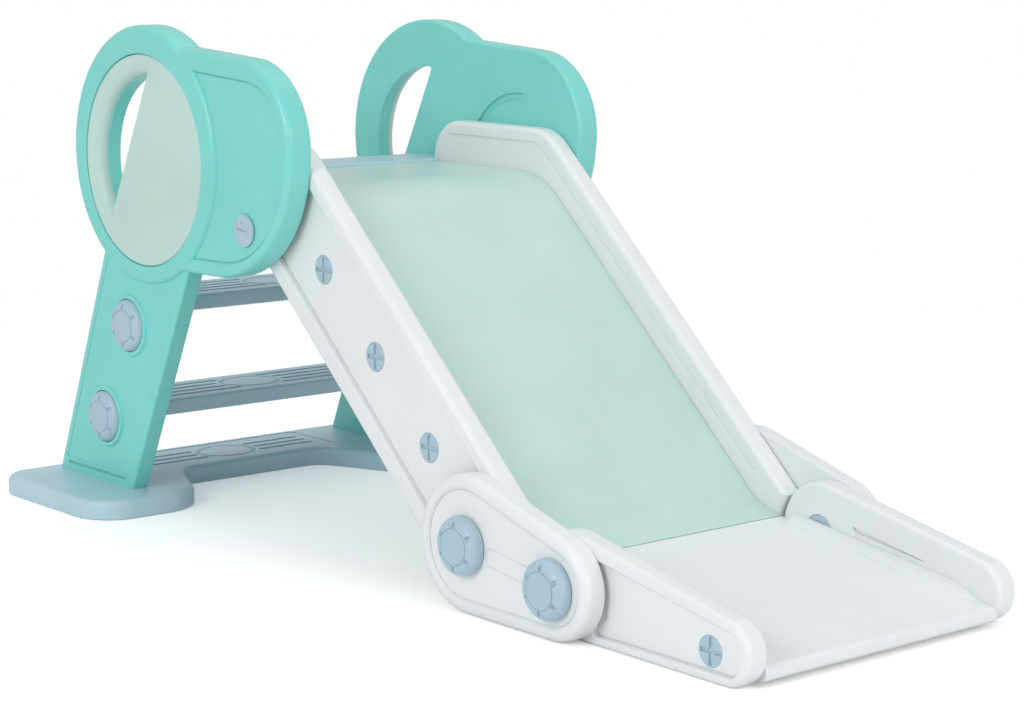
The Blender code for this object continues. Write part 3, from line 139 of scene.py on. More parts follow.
class Wiring:
    """Adds nodes to the tree of a material or of the world, and joins them."""

    def __init__(self, owner: bpy.types.Material | bpy.types.World) -> None:
        """Take the owner's tree."""
        owner.use_nodes = True
        self.tree = owner.node_tree

    def tune(self, name: str, values: dict[str | int, object]) -> bpy.types.Node:
        """Set inputs of a node.

        Args:
            name: The node's name.
            values: The inputs' values, by name or by index.

        Returns:
            The node.
        """
        node = self.tree.nodes[name]
        for key, value in values.items():
            node.inputs[key].default_value = value
        return node

    def add(self, kind: str, values: dict[str | int, object] | None = None) -> bpy.types.Node:
        """Add a node of a kind, with values for some of its inputs."""
        return self.tune(self.tree.nodes.new(f"ShaderNode{kind}").name, values or {})

    def join(self, *links: tuple[bpy.types.Node, str, bpy.types.Node, str | int]) -> None:
        """Draw links, each given as a node, its output, the next node and its input."""
        for source, output, target, entry in links:
            self.tree.links.new(source.outputs[output], target.inputs[entry])


@dataclass(frozen=True)
class Plastic:
    """A moulded plastic with faint clouds in its colour, an uneven gloss and a fine grain."""

    colour: Triple
    roughness: float
    clouding: float = 0.035
    cloud_scale: float = 9.0
    gloss_spread: float = 0.04
    gloss_scale: float = 60.0
    noise_span: Spot = (0.30, 0.70)
    grain: float = 0.03
    grain_size: float = 0.0030
    grain_height: float = 0.0002
    glow: float = 0.10
    glow_depth: float = 0.004
    refraction: float = 1.47

    def material(self, name: str) -> bpy.types.Material:
        """Build the material.

        Args:
            name: The name to give it.

        Returns:
            The new material.
        """
        material = bpy.data.materials.new(name)
        wiring = Wiring(material)
        shader = wiring.tune("Principled BSDF", {
            "IOR": self.refraction, "Subsurface Weight": self.glow, "Subsurface Scale": self.glow_depth})
        place = wiring.add("TexCoord")
        clouds = wiring.add("TexNoise", {"Scale": self.cloud_scale, "Detail": 5.0})
        streaks = wiring.add("TexNoise", {"Scale": self.gloss_scale, "Detail": 3.0})
        grain = wiring.add("TexNoise", {"Scale": 1 / self.grain_size, "Detail": 2.0})
        ramp = wiring.add("ValToRGB")
        for i, shift in enumerate((-self.clouding, self.clouding)):
            stop = ramp.color_ramp.elements[i]
            stop.position = self.noise_span[i]
            stop.color = (*(min(1.0, channel * (1 + shift)) for channel in self.colour), 1)
        spread = wiring.add("MapRange", {
            "From Min": self.noise_span[0], "From Max": self.noise_span[1],
            "To Min": self.roughness - self.gloss_spread / 2,
            "To Max": self.roughness + self.gloss_spread / 2})
        bump = wiring.add("Bump", {"Strength": self.grain, "Distance": self.grain_height})
        wiring.join(
            *((place, "Object", noise, "Vector") for noise in (clouds, streaks, grain)),
            (clouds, "Fac", ramp, "Fac"), (ramp, "Color", shader, "Base Color"),
            (streaks, "Fac", spread, "Value"), (spread, "Result", shader, "Roughness"),
            (grain, "Fac", bump, "Height"), (bump, "Normal", shader, "Normal"))
        return material


PLASTICS = {
    Slot.MINT: Plastic((0.218, 0.690, 0.634), 0.31),
    Slot.SAGE: Plastic((0.535, 0.715, 0.665), 0.38),
    Slot.BED: Plastic((0.540, 0.725, 0.680), 0.34),
    Slot.WHITE: Plastic((0.800, 0.825, 0.832), 0.31, clouding=0.015),
    Slot.BLUE_GREY: Plastic((0.475, 0.655, 0.735), 0.32),
    Slot.KNOB: Plastic((0.405, 0.555, 0.640), 0.32),
    Slot.SCREW: Plastic((0.425, 0.565, 0.655), 0.32),
}


class Outline:
    """A closed flat line, counter-clockwise, that has the same count of points at any inset."""

    def loop(self, inset: float) -> np.ndarray:
        """Return the line's points, one row each, moved inwards by the inset."""
        raise NotImplementedError


@dataclass(frozen=True)
class Polygon(Outline):
    """A line through corners (u, v, radius), each with its own fillet; a radius of 0 leaves it sharp."""

    corners: tuple[Triple, ...]

    def loop(self, inset: float) -> np.ndarray:
        """Move each corner along its mitre and redraw its fillet.

        A corner p between edge normals m and n moves to p - inset (m + n) / (1 + m.n). A convex fillet
        shrinks by the inset and a concave one grows by it.

        Args:
            inset: How far the line moves inwards.

        Returns:
            The points, one row each.
        """
        corners = np.array(self.corners)
        runs = np.roll(corners[:, :2], -1, axis=0) - corners[:, :2]
        runs /= np.linalg.norm(runs, axis=1)[:, None]
        before = np.roll(runs, 1, axis=0)
        normals = np.stack([runs[:, 1], -runs[:, 0]], axis=1)
        earlier = np.roll(normals, 1, axis=0)
        mitres = (normals + earlier) / (1 + (normals * earlier).sum(axis=1))[:, None]
        moved = corners[:, :2] - inset * mitres
        turns = np.arctan2(
            before[:, 0] * runs[:, 1] - before[:, 1] * runs[:, 0], (before * runs).sum(axis=1))
        pieces = []
        for place, into, turn, radius in zip(moved, before, turns, corners[:, 2]):
            if radius == 0 or abs(turn) < SMALLEST_TURN:
                pieces.append(place[None])
                continue
            side = np.sign(turn)
            round_radius = max(radius - side * inset, SMALLEST_RADIUS)
            left = np.array([-into[1], into[0]]) * side * round_radius
            centre = place - into * round_radius * tan(abs(turn) / 2) + left
            first = atan2(-left[1], -left[0])
            angles = first + turn * np.linspace(0, 1, ceil(abs(turn) / ARC_STEP) + 1)
            pieces.append(centre + round_radius * np.stack([np.cos(angles), np.sin(angles)], axis=1))
        return np.concatenate(pieces)


@dataclass(frozen=True)
class Arcs(Outline):
    """Arcs (u, v, radius, start, end) joined by straight lines; a single full turn is a circle."""

    arcs: tuple[tuple[float, float, float, float, float], ...]

    def loop(self, inset: float) -> np.ndarray:
        """Redraw each arc at its centre, smaller by the inset where it is convex and larger where concave.

        Args:
            inset: How far the line moves inwards.

        Returns:
            The points, one row each.
        """
        pieces = []
        for u, v, radius, start, end in self.arcs:
            drawn = max(radius - np.sign(end - start) * inset, SMALLEST_RADIUS)
            angles = np.linspace(start, end, ceil(abs(end - start) / ARC_STEP) + 1)
            if abs(end - start) > 2 * pi - ARC_STEP / 2:
                angles = angles[:-1]
            pieces.append(np.stack([u + drawn * np.cos(angles), v + drawn * np.sin(angles)], axis=1))
        return np.concatenate(pieces)


def box(low: Spot, high: Spot, radius: float) -> Polygon:
    """Return the line of a rectangle between two opposite corners, all its corners rounded alike."""
    return Polygon(((*low, radius), (high[0], low[1], radius), (*high, radius), (low[0], high[1], radius)))


def mirrored(half: list[Triple]) -> Polygon:
    """Return the line through corners (x, y, radius) and their twins across the middle."""
    return Polygon(tuple(half + [(x, -y, radius) for x, y, radius in reversed(half)]))


def circle(centre: Spot, radius: float) -> Arcs:
    """Return a circle."""
    return Arcs(((*centre, radius, 0.0, 2 * pi),))


def belt(first: Spot, first_radius: float, second: Spot, second_radius: float) -> Arcs:
    """Return the line of a belt round two circles.

    Args:
        first: Centre of the first circle.
        first_radius: Its radius.
        second: Centre of the second circle.
        second_radius: Its radius.

    Returns:
        The outline.
    """
    along = (second[0] - first[0], second[1] - first[1])
    heading = atan2(along[1], along[0])
    wrap = acos((first_radius - second_radius) / hypot(*along))
    return Arcs((
        (*second, second_radius, heading - wrap, heading + wrap),
        (*first, first_radius, heading + wrap, heading - wrap + 2 * pi)))


def slot_outline(first: Spot, second: Spot, width: float) -> Arcs:
    """Return the line of a round-ended slot between two points."""
    return belt(first, width / 2, second, width / 2)


@dataclass(frozen=True)
class OffRing(Outline):
    """A line through rounded corners whose ends run into a circle, closed by one of that circle's arcs."""

    start: Spot
    corners: tuple[Triple, ...]
    end: Spot
    centre: Spot
    radius: float
    samples: int = 24
    around: bool = False

    def loop(self, inset: float) -> np.ndarray:
        """Move the corners and both end lines inwards, and cut the lines off at the circle.

        The near arc closes a piece that hides its end in the circle, so it stays where it is. The far arc
        makes one outline round both, so it shrinks by the inset.

        Args:
            inset: How far the line moves inwards.

        Returns:
            The points, one row each.
        """
        chain = Polygon(((*self.start, 0.0), *self.corners, (*self.end, 0.0)))
        points = chain.loop(0.0)
        inner = chain.loop(inset)
        reach = self.radius - (inset if self.around else 0.0)
        first = self._hit(points, inner, 0, 1, reach)
        last = self._hit(points, inner, -1, -2, reach)
        begin = atan2(last[1] - self.centre[1], last[0] - self.centre[0])
        finish = atan2(first[1] - self.centre[1], first[0] - self.centre[0])
        finish = begin + (finish - begin) % (2 * pi) - (0.0 if self.around else 2 * pi)
        angles = np.linspace(begin, finish, self.samples)
        arc = np.array(self.centre) + reach * np.stack([np.cos(angles), np.sin(angles)], axis=1)
        return np.concatenate([inner[1:-1], arc])

    def _hit(self, points: np.ndarray, inner: np.ndarray, tip: int, neck: int, reach: float) -> np.ndarray:
        """Find where an end line, moved inwards, first meets the circle.

        With p on the line, d its heading and c the centre, it is the smaller root t of |p + t d - c| = reach.

        Args:
            points: The line at no inset.
            inner: The line at the inset.
            tip: Index of the line's end.
            neck: Index of its neighbour.
            reach: The circle's radius.

        Returns:
            The point.
        """
        heading = points[tip] - points[neck]
        heading = heading / np.linalg.norm(heading)
        offset = inner[neck] - np.array(self.centre)
        middle = -(offset @ heading)
        root = sqrt(max(0.0, reach ** 2 - offset @ offset + middle ** 2))
        return inner[neck] + heading * (middle - root)


@dataclass(frozen=True)
class HandHole(Outline):
    """The hand hole: a round cut off by a straight edge, whose mouth widens on the round side only."""

    centre: Spot = (-0.437, 0.5035)
    radius: float = 0.1185
    chord: float = 0.0365
    corner: float = 0.005
    tilt: float = radians(154)
    arc_points: int = 96
    corner_points: int = 18

    def loop(self, inset: float) -> np.ndarray:
        """Redraw the hole smaller by the inset, or with a larger round on the same straight edge.

        With R the round's radius, c the corners' radius and d the straight edge's distance from the centre,
        the corners' centres lie at u = d + c and v = +-sqrt((R - c)^2 - u^2).

        Args:
            inset: How far the line moves inwards.

        Returns:
            The points, one row each.
        """
        shrink = max(inset, 0.0)
        hole_radius = self.radius - inset
        corner = max(self.corner - shrink, SMALLEST_RADIUS)
        u = self.chord + shrink + corner
        v = sqrt((hole_radius - corner) ** 2 - u ** 2)
        opening = atan2(v, u)
        wide = np.linspace(-opening, opening, self.arc_points)
        upper = np.linspace(opening, pi, self.corner_points)[1:]
        lower = np.linspace(-pi, -opening, self.corner_points)[:-1]
        along = np.concatenate([
            hole_radius * np.cos(wide), u + corner * np.cos(upper), u + corner * np.cos(lower)])
        across = np.concatenate([
            hole_radius * np.sin(wide), v + corner * np.sin(upper), corner * np.sin(lower) - v])
        turn = np.array([[cos(self.tilt), sin(self.tilt)], [-sin(self.tilt), cos(self.tilt)]])
        return np.array(self.centre) + np.stack([along, across], axis=1) @ turn


@dataclass(frozen=True)
class Crescent(Outline):
    """A groove along an arc, wider at one end, steep at its outer edge and rising slowly inwards."""

    centre: Spot
    radius: float
    angles: Spot
    widths: Spot
    corner: float = 0.0006
    steepness: float = 0.30
    samples: int = 40

    def loop(self, inset: float) -> np.ndarray:
        """Draw the outer arc, and back along the inner one, whose radius falls evenly with the angle.

        Args:
            inset: How far the inner edge moves inwards; the outer edge and the ends move by a share of it.

        Returns:
            The points, one row each.
        """
        outer = self.radius - inset * self.steepness
        trim = inset * self.steepness / self.radius
        turn = np.linspace(self.angles[0] + trim, self.angles[1] - trim, self.samples)
        inner = self.radius - np.linspace(*self.widths, self.samples) + inset
        unit = np.stack([np.cos(turn), np.sin(turn)], axis=1)
        spots = np.concatenate([outer * unit, (inner[:, None] * unit)[::-1]]) + np.array(self.centre)
        corners = [(u, v, 0.0) for u, v in spots.tolist()]
        for i in (0, self.samples - 1, self.samples, -1):
            corners[i] = (*corners[i][:2], self.corner)
        return Polygon(tuple(corners)).loop(0.0)


def bend(centre: Spot, radius: float, start: float, end: float, steps: int = 4) -> Stations:
    """Return stations along an arc about (inset, height), from angle to angle in degrees, 90 pointing up."""
    angles = [radians(start + (end - start) * i / steps) for i in range(steps + 1)]
    return [(centre[0] + radius * cos(a), centre[1] + radius * sin(a)) for a in angles]


def rims(low: float, high: float, low_round: float, high_round: float) -> Stations:
    """Return the stations of a plate's side, from its lower face over its rounded rims to its upper one."""
    below = bend((low_round, low + low_round), low_round, 270, 180)
    return below + bend((high_round, high - high_round), high_round, 180, 90)


def pocket(depth: float, lip: float, floor: float) -> Stations:
    """Return the stations of a pocket, with the radii of its lip and of its foot."""
    mouth = bend((0.0, -lip), lip, 90, 0, 3)
    return mouth + bend((lip + floor, floor - depth), floor, 180, 270, 3)


def lined(
        depth: float, lip: float, width: float = 0.0010, cut: float = 0.0014,
        roll: float = 0.0012) -> Stations:
    """Return the stations of a sunk face with a rounded lip, and with a fine line along its foot.

    Where the lip's radius is larger than the depth, the lip's arc ends at the floor.

    Args:
        depth: How deep the face lies.
        lip: Radius of its lip.
        width: Width of the line at its foot.
        cut: Depth of the line under the face.
        roll: Radius of the line's inner edge.

    Returns:
        The stations.
    """
    end = degrees(asin(max(0.0, 1 - depth / lip)))
    mouth = bend((0.0, -lip), lip, 90, end, 6)
    foot = lip * cos(radians(end))
    low = -depth - cut
    rolled = bend((foot + width + roll, -depth - roll), roll, 180, 90, 3)
    return mouth + [(foot, low + 0.0003), (foot + 0.0003, low), (foot + width - 0.0001, low)] + rolled


def boss(height: float, foot: float, rim: float) -> Stations:
    """Return the stations of a raised boss, with the radii of its foot and of its rim."""
    return bend((0.0, foot), foot, 270, 360, 3) + bend((foot + rim, height - rim), rim, 180, 90, 3)


@dataclass(frozen=True)
class Feature:
    """A pocket, boss or hole on a flat face, with the features on its own floor.

    Its stations are (inset from its line, height over the face that it starts from). One that goes through
    ends at the plate's other face.
    """

    outline: Outline
    stations: Stations
    features: tuple["Feature", ...] = ()
    through: bool = False


def dimple(place: Spot, radius: float, depth: float, lip: float, floor: float) -> Feature:
    """Return a round pocket."""
    return Feature(circle(place, radius), pocket(depth, lip, floor))


class Shell:
    """Points and faces gathered for one closed mesh."""

    def __init__(self) -> None:
        """Start empty."""
        self.points: list[np.ndarray] = []
        self.faces: list[list[int]] = []
        self.count = 0

    def add(self, points: np.ndarray) -> np.ndarray:
        """Add points with three coordinates.

        Args:
            points: The points, one row each.

        Returns:
            The new points' indices.
        """
        self.points.append(points)
        self.count += len(points)
        return np.arange(self.count - len(points), self.count)

    def loft(self, rows: list[np.ndarray]) -> None:
        """Join each closed row of points to the next one with four-sided faces."""
        for first, second in zip(rows, rows[1:]):
            self.faces += np.stack([first, np.roll(first, -1), np.roll(second, -1), second], axis=1).tolist()

    def sweep(self, outline: Outline, stations: Stations) -> list[np.ndarray]:
        """Add the skin that an outline makes on its way through stations.

        Args:
            outline: The outline.
            stations: The stations.

        Returns:
            Indices of the points at each station.
        """
        rows = []
        for inset, height in stations:
            flat = outline.loop(inset)
            rows.append(self.add(np.column_stack([flat, np.full(len(flat), height)])))
        self.loft(rows)
        return rows

    def tube(self, rows: list[np.ndarray]) -> None:
        """Add rows of points, join them and close both ends.

        Args:
            rows: The rows, each with as many points.
        """
        added = [self.add(row) for row in rows]
        self.loft(added)
        self.faces += [added[0].tolist(), added[-1].tolist()]

    def fill(self, loops: list[np.ndarray]) -> None:
        """Close a flat face between an outer loop and the loops inside it.

        The face is cut into triangles along all loops. Those stay whose middle has an odd number of edges to
        its right, which means inside the outer loop and outside the inner ones.

        Args:
            loops: Indices of each loop's points, the outer one first.
        """
        order = np.concatenate(loops)
        flat = np.concatenate(self.points)[order, :2]
        starts = np.cumsum([0] + [len(loop) for loop in loops])
        following = np.concatenate([
            np.roll(np.arange(first, last), -1) for first, last in zip(starts[:-1], starts[1:])])
        edges = np.stack([np.arange(len(order)), following], axis=1)
        result = delaunay_2d_cdt(flat.tolist(), edges.tolist(), [], 0, 1e-7)
        sources = np.array([ids[0] for ids in result[3]])
        faces = sources[np.array(result[2])]
        middle = flat[faces].mean(axis=1)
        a, b = flat[None, :, :], flat[following][None, :, :]
        x, y = middle[:, 0, None], middle[:, 1, None]
        spans = (a[..., 1] > y) != (b[..., 1] > y)
        rise = np.where(spans, b[..., 1] - a[..., 1], 1.0)
        meets = a[..., 0] + (b[..., 0] - a[..., 0]) * (y - a[..., 1]) / rise
        inside = (spans & (meets > x)).sum(axis=1) % 2 == 1
        self.faces += order[faces[inside]].tolist()

    def mesh(self, side: int = 0) -> Mesh:
        """Turn the points and faces into a mesh whose faces look outwards.

        Args:
            side: 1 or -1 where the shell stands upright on that side of the slide, with its second coordinate
                up and its third one outwards, or 0 where it lies as it is.

        Returns:
            The mesh.
        """
        points = np.concatenate(self.points)
        if side:
            points = np.stack([points[:, 0], side * points[:, 2], points[:, 1]], axis=1)
        mesh = bpy.data.meshes.new("solid")
        mesh.from_pydata(points.tolist(), [], self.faces)
        work = bmesh.new()
        work.from_mesh(mesh)
        bmesh.ops.remove_doubles(work, verts=work.verts, dist=1e-6)
        bmesh.ops.recalc_face_normals(work, faces=work.faces)
        work.to_mesh(mesh)
        work.free()
        return mesh


@dataclass(frozen=True)
class Plate:
    """A closed plate: its side runs through the stations, and its two faces carry features."""

    outline: Outline
    stations: Stations
    front: tuple[Feature, ...] = ()
    back: tuple[Feature, ...] = ()

    def build(self, shell: Shell) -> None:
        """Add the plate to a shell.

        Args:
            shell: The shell that takes it.
        """
        rows = shell.sweep(self.outline, self.stations)
        passing: list[np.ndarray] = []
        self._face(shell, rows[-1], self.stations[-1][1], 1, self.front, passing)
        self._face(shell, rows[0], self.stations[0][1], -1, self.back, passing)

    def _face(
            self, shell: Shell, rim: np.ndarray, height: float, sense: int, features: tuple[Feature, ...],
            passing: list[np.ndarray]) -> None:
        """Close a face with its features.

        Args:
            shell: The shell that takes it.
            rim: Indices of the face's own edge.
            height: Height of the face.
            sense: 1 where the face looks up, -1 where it looks down.
            features: What stands on the face or is sunk in it.
            passing: Far edges of the holes that go right through.
        """
        low = self.stations[0][1]
        holes = list(passing) if sense < 0 and height == low else []
        for feature in features:
            stations = [(inset, height + sense * rise) for inset, rise in feature.stations]
            if feature.through:
                stations.append((stations[-1][0], low))
            rows = shell.sweep(feature.outline, stations)
            holes.append(rows[0])
            if feature.through:
                passing.append(rows[-1])
            else:
                self._face(shell, rows[-1], stations[-1][1], sense, feature.features, passing)
        shell.fill([rim, *holes])


def solid(plates: list[Plate], side: int = 0) -> Mesh:
    """Return one mesh of plates.

    Args:
        plates: The plates.
        side: 1 or -1 where they stand upright on that side of the slide, or 0 where they lie flat.

    Returns:
        The mesh.
    """
    shell = Shell()
    for plate in plates:
        plate.build(shell)
    return shell.mesh(side)


def smooth(share: np.ndarray) -> np.ndarray:
    """Return the smooth step of shares, which is 3 t^2 - 2 t^3 with t kept between 0 and 1."""
    t = np.clip(share, 0, 1)
    return t ** 2 * (3 - 2 * t)


class Workshop:
    """Makes the materials once, and puts finished pieces into the scene."""

    def __init__(self) -> None:
        """Make every material."""
        self.materials = {slot: plastic.material(slot.value) for slot, plastic in PLASTICS.items()}

    def piece(self, node: str, solids: list[Mesh], slot: Slot, body: str, crease: float) -> None:
        """Put a piece into the scene in place of its CAD node.

        Args:
            node: The CAD node that it stands for.
            solids: Its closed meshes, in place.
            slot: Its material slot.
            body: The body that it rides on.
            crease: The angle in degrees over which an edge is shaded hard.
        """
        mesh, *others = solids
        if others:
            work = bmesh.new()
            for part in solids:
                work.from_mesh(part)
            work.to_mesh(mesh)
            work.free()
        for extra in others:
            bpy.data.meshes.remove(extra)
        mesh.name = f"{node}_shape"
        item = bpy.data.objects.new(mesh.name, mesh)
        bpy.context.scene.collection.objects.link(item)
        mesh.materials.append(self.materials[slot])
        mesh.shade_smooth()
        mesh.set_sharp_from_angle(angle=radians(crease))
        weighted = item.modifiers.new("normals", "WEIGHTED_NORMAL")
        weighted.keep_sharp = True
        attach(item, body)
        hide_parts(node)
        LOG.info("%s: %d faces", item.name, len(mesh.polygons))

    def dress(self, frame: dict) -> None:
        """Give every CAD node the finish of its slot.

        Args:
            frame: The loaded frame.
        """
        slots = {part["node"]: Slot(part["material_slot"]) for part in frame["record"]["subparts"]}
        for name, item in frame["nodes"].items():
            item.data.materials.clear()
            item.data.materials.append(self.materials[slots[name]])


class Piece:
    """A piece of the slide, which knows its slot and body and makes its plates, or else its meshes itself."""

    slot: Slot
    body: Body | None = Body.FRAME
    crease: float = 32.0

    def plates(self) -> list[Plate]:
        """Return the plates of a piece that is one moulding."""
        raise NotImplementedError

    def solids(self, side: int) -> list[Mesh]:
        """Return the piece's closed meshes on a side of the slide, 1 or -1, or 0 where it spans both."""
        return [solid(self.plates(), side)]

    def build(self, shop: Workshop, node: str, side: int = 0) -> None:
        """Put the piece into the scene; where it has no Body, it rides on the body named like its node."""
        shop.piece(node, self.solids(side), self.slot, self.body.value if self.body else node, self.crease)


def chute_point(run: float, depth: float) -> Spot:
    """Return the point at a run down the slope from the rails' bend and a depth square under their top."""
    return (RAIL_BEND_X + run * cos(CHUTE_ANGLE) - depth * sin(CHUTE_ANGLE),
            RAIL_TOP - run * sin(CHUTE_ANGLE) - depth * cos(CHUTE_ANGLE))


def chute_bend(depth: float) -> Spot:
    """Return where the level stretch at a depth meets the slope at the same depth."""
    return (RAIL_BEND_X - depth * tan(CHUTE_ANGLE / 2), RAIL_TOP - depth)


def chute_run(point: Spot) -> float:
    """Return how far down the slope a point lies."""
    return (point[0] - RAIL_BEND_X) * cos(CHUTE_ANGLE) + (RAIL_TOP - point[1]) * sin(CHUTE_ANGLE)


def chute_depth(point: Spot) -> float:
    """Return how deep a point lies square under the rails' sloping top."""
    return (RAIL_TOP - point[1]) * cos(CHUTE_ANGLE) - (point[0] - RAIL_BEND_X) * sin(CHUTE_ANGLE)


def screw_places() -> list[Spot]:
    """Return where the screws sit along the rails."""
    return [chute_point(RAIL_SCREW_RUN + RAIL_SCREW_PITCH * i, RAIL_SCREW_DEPTH) for i in range(RAIL_SCREWS)]


def leg_span(z: float, inset: float = 0.0) -> tuple[Spot, Spot]:
    """Return the points on a leg's rear and front edges at a height, moved inwards by an inset."""
    rear, front = (x + slope * (z - LEG_FOOT) for x, slope in (LEG_REAR, LEG_FRONT))
    return (rear + inset, z), (front - inset, z)


THUMB_GROOVE = Feature(
    Crescent((-0.223, 0.480), 0.1125, (radians(84), radians(150)), (0.0140, 0.0100)),
    [(0.0, 0.0), (0.0003, -0.0004), (0.0042, -0.0040), (0.0052, -0.0042), (0.0060, -0.0038)])


@dataclass(frozen=True)
class SidePanel(Piece):
    """A side panel: the ring at the head, the guard in front of it and the leg below it."""

    slot = Slot.MINT
    inner: float = 0.232
    split: float = 0.240
    inner_round: float = 0.005
    ring_outer: float = 0.272
    ring_round: float = 0.0095
    ring_points: int = 120
    seat_floor: float = 0.2522
    seat_gap: float = 0.0024
    hidden_radius: float = 0.168
    guard_outer: float = 0.270
    guard_round: float = 0.0085
    guard_start: Spot = (-0.4375, 0.356)
    guard_low: Triple = (-0.109, 0.3625, 0.172)
    guard_high: Triple = (-0.076, 0.6465, 0.117)
    guard_end: Spot = (-0.400, 0.667)
    recess: float = 0.0042
    recess_lip: float = 0.0055
    recess_top: float = 0.023
    recess_side: float = 0.0125
    recess_foot: float = 0.0155
    leg_inner: float = 0.238
    leg_outer: float = 0.266
    leg_line: tuple[Spot, ...] = (
        (-0.5373, 0.400), (-0.6896, 0.0243), (-0.4909, 0.0243), (-0.3153, 0.400))
    leg_border: float = 0.0135
    leg_slope: float = 0.0012
    collar: float = 0.0085
    slot_span: Spot = (0.0385, 0.0435)
    slot_inset: float = 0.020

    def plates(self) -> list[Plate]:
        """Return the panel's plates, which overlap."""
        return [self._inner(), self._ring(), self._guard(), self._leg()]

    def _guard_line(
            self, top: float, side: float, foot: float, radius: float, around: bool = False) -> OffRing:
        """Return the guard's outline, or one that lies inside it.

        Args:
            top: How far its top line lies inside.
            side: How far its front lies inside.
            foot: How far its lower line lies inside.
            radius: Radius of the circle that it runs into.
            around: Whether the outline goes on round the ring.

        Returns:
            The outline.
        """
        (low_x, low_z, low_round), (high_x, high_z, high_round) = self.guard_low, self.guard_high
        corners = (
            (low_x - side, low_z + foot, low_round - side - foot),
            (high_x - side, high_z - top, high_round - top))
        samples = self.ring_points if around else OffRing.samples
        return OffRing(
            (self.guard_start[0], self.guard_start[1] + foot), corners,
            (self.guard_end[0], self.guard_end[1] - top), RING_CENTRE, radius, samples, around)

    def _inner(self) -> Plate:
        """Return the inner half of ring and guard in one, with the thumb groove and the hand hole."""
        hole = Feature(HandHole(), [(0.001, 0.0), (0.001, -0.001)], through=True)
        return Plate(
            self._guard_line(0.0, 0.0, 0.0, RING_RADIUS, around=True),
            rims(self.inner, self.split, self.inner_round, 0.0), (hole,), (THUMB_GROOVE,))

    def _ring(self) -> Plate:
        """Return the outer half of the ring with the seat of its inlay and the hand hole.

        Returns:
            The plate.
        """
        hole = Feature(HandHole(), pocket(0.004, 0.001, 0.001)[:4], through=True)
        line = circle(DISC_CENTRE, DISC_RADIUS + self.seat_gap)
        seat = Feature(line, pocket(self.ring_outer - self.seat_floor, 0.0018, 0.0006), (hole,))
        stations = rims(self.split, self.ring_outer, 0.0, self.ring_round)
        return Plate(circle(RING_CENTRE, RING_RADIUS), stations, (seat,))

    def _guard(self) -> Plate:
        """Return the outer half of the guard with its sunk face."""
        sunk = Feature(
            self._guard_line(self.recess_top, self.recess_side, self.recess_foot, self.hidden_radius + 0.004),
            lined(self.recess, self.recess_lip, 0.0011, 0.0016))
        return Plate(
            self._guard_line(0.0, 0.0, 0.0, self.hidden_radius),
            rims(self.split, self.guard_outer, 0.0, self.guard_round), (sunk,))

    def _leg(self) -> Plate:
        """Return the leg with its collars, its knob seats and its foot slot.

        Returns:
            The plate.
        """
        start, heel, toe, end = self.leg_line
        outline = OffRing(start, ((*heel, 0.0), (*toe, 0.0)), end, RING_CENTRE, self.hidden_radius)
        collars = tuple(
            Feature(circle(place, KNOB_RADIUS + self.collar), boss(0.0035, 0.0012, 0.0018),
                    (dimple(place, KNOB_RADIUS + 0.0016, 0.005, 0.0008, 0.0004),))
            for place in LEG_KNOBS.values())
        low, high = (leg_span(z, self.slot_inset) for z in self.slot_span)
        slot = Polygon(tuple((*spot, 0.0015) for spot in (*low, *high[::-1])))
        foot = leg_span(self.slot_span[1] + 0.004, self.leg_border)
        top = leg_span(start[1], self.leg_border)
        panel = OffRing(
            top[0], tuple((*spot, 0.002) for spot in foot), top[1], RING_CENTRE, self.hidden_radius + 0.002)
        stations = rims(self.leg_inner, self.leg_outer - self.leg_slope, 0.003, 0.0035)
        stations.append((self.leg_border * 0.85, self.leg_outer))
        return Plate(outline, stations, (
            Feature(panel, lined(0.0006, 0.0006, 0.0007, 0.0006, 0.0004), collars),
            Feature(slot, pocket(0.004, 0.0007, 0.0005))))


@dataclass(frozen=True)
class HeadDisc(Piece):
    """The round inlay in the ring, with the funnel of the hand hole."""

    slot = Slot.SAGE
    face: float = 0.2705
    thickness: float = 0.018
    edge: float = 0.0028
    flare: float = 0.0235
    flare_steps: int = 14

    def plates(self) -> list[Plate]:
        """Return the inlay, whose funnel is wider by flare (1 - sin a) at the depth thickness (1 - cos a).

        Returns:
            Its plate.
        """
        depth = self.thickness - 0.001
        turns = [pi / 2 * i / self.flare_steps for i in range(self.flare_steps + 1)]
        funnel = [(-self.flare * (1 - sin(a)), -depth * (1 - cos(a))) for a in turns]
        stations = rims(self.face - self.thickness, self.face, 0.001, self.edge)
        hole = Feature(HandHole(), funnel, through=True)
        return [Plate(circle(DISC_CENTRE, DISC_RADIUS), stations, (hole,))]


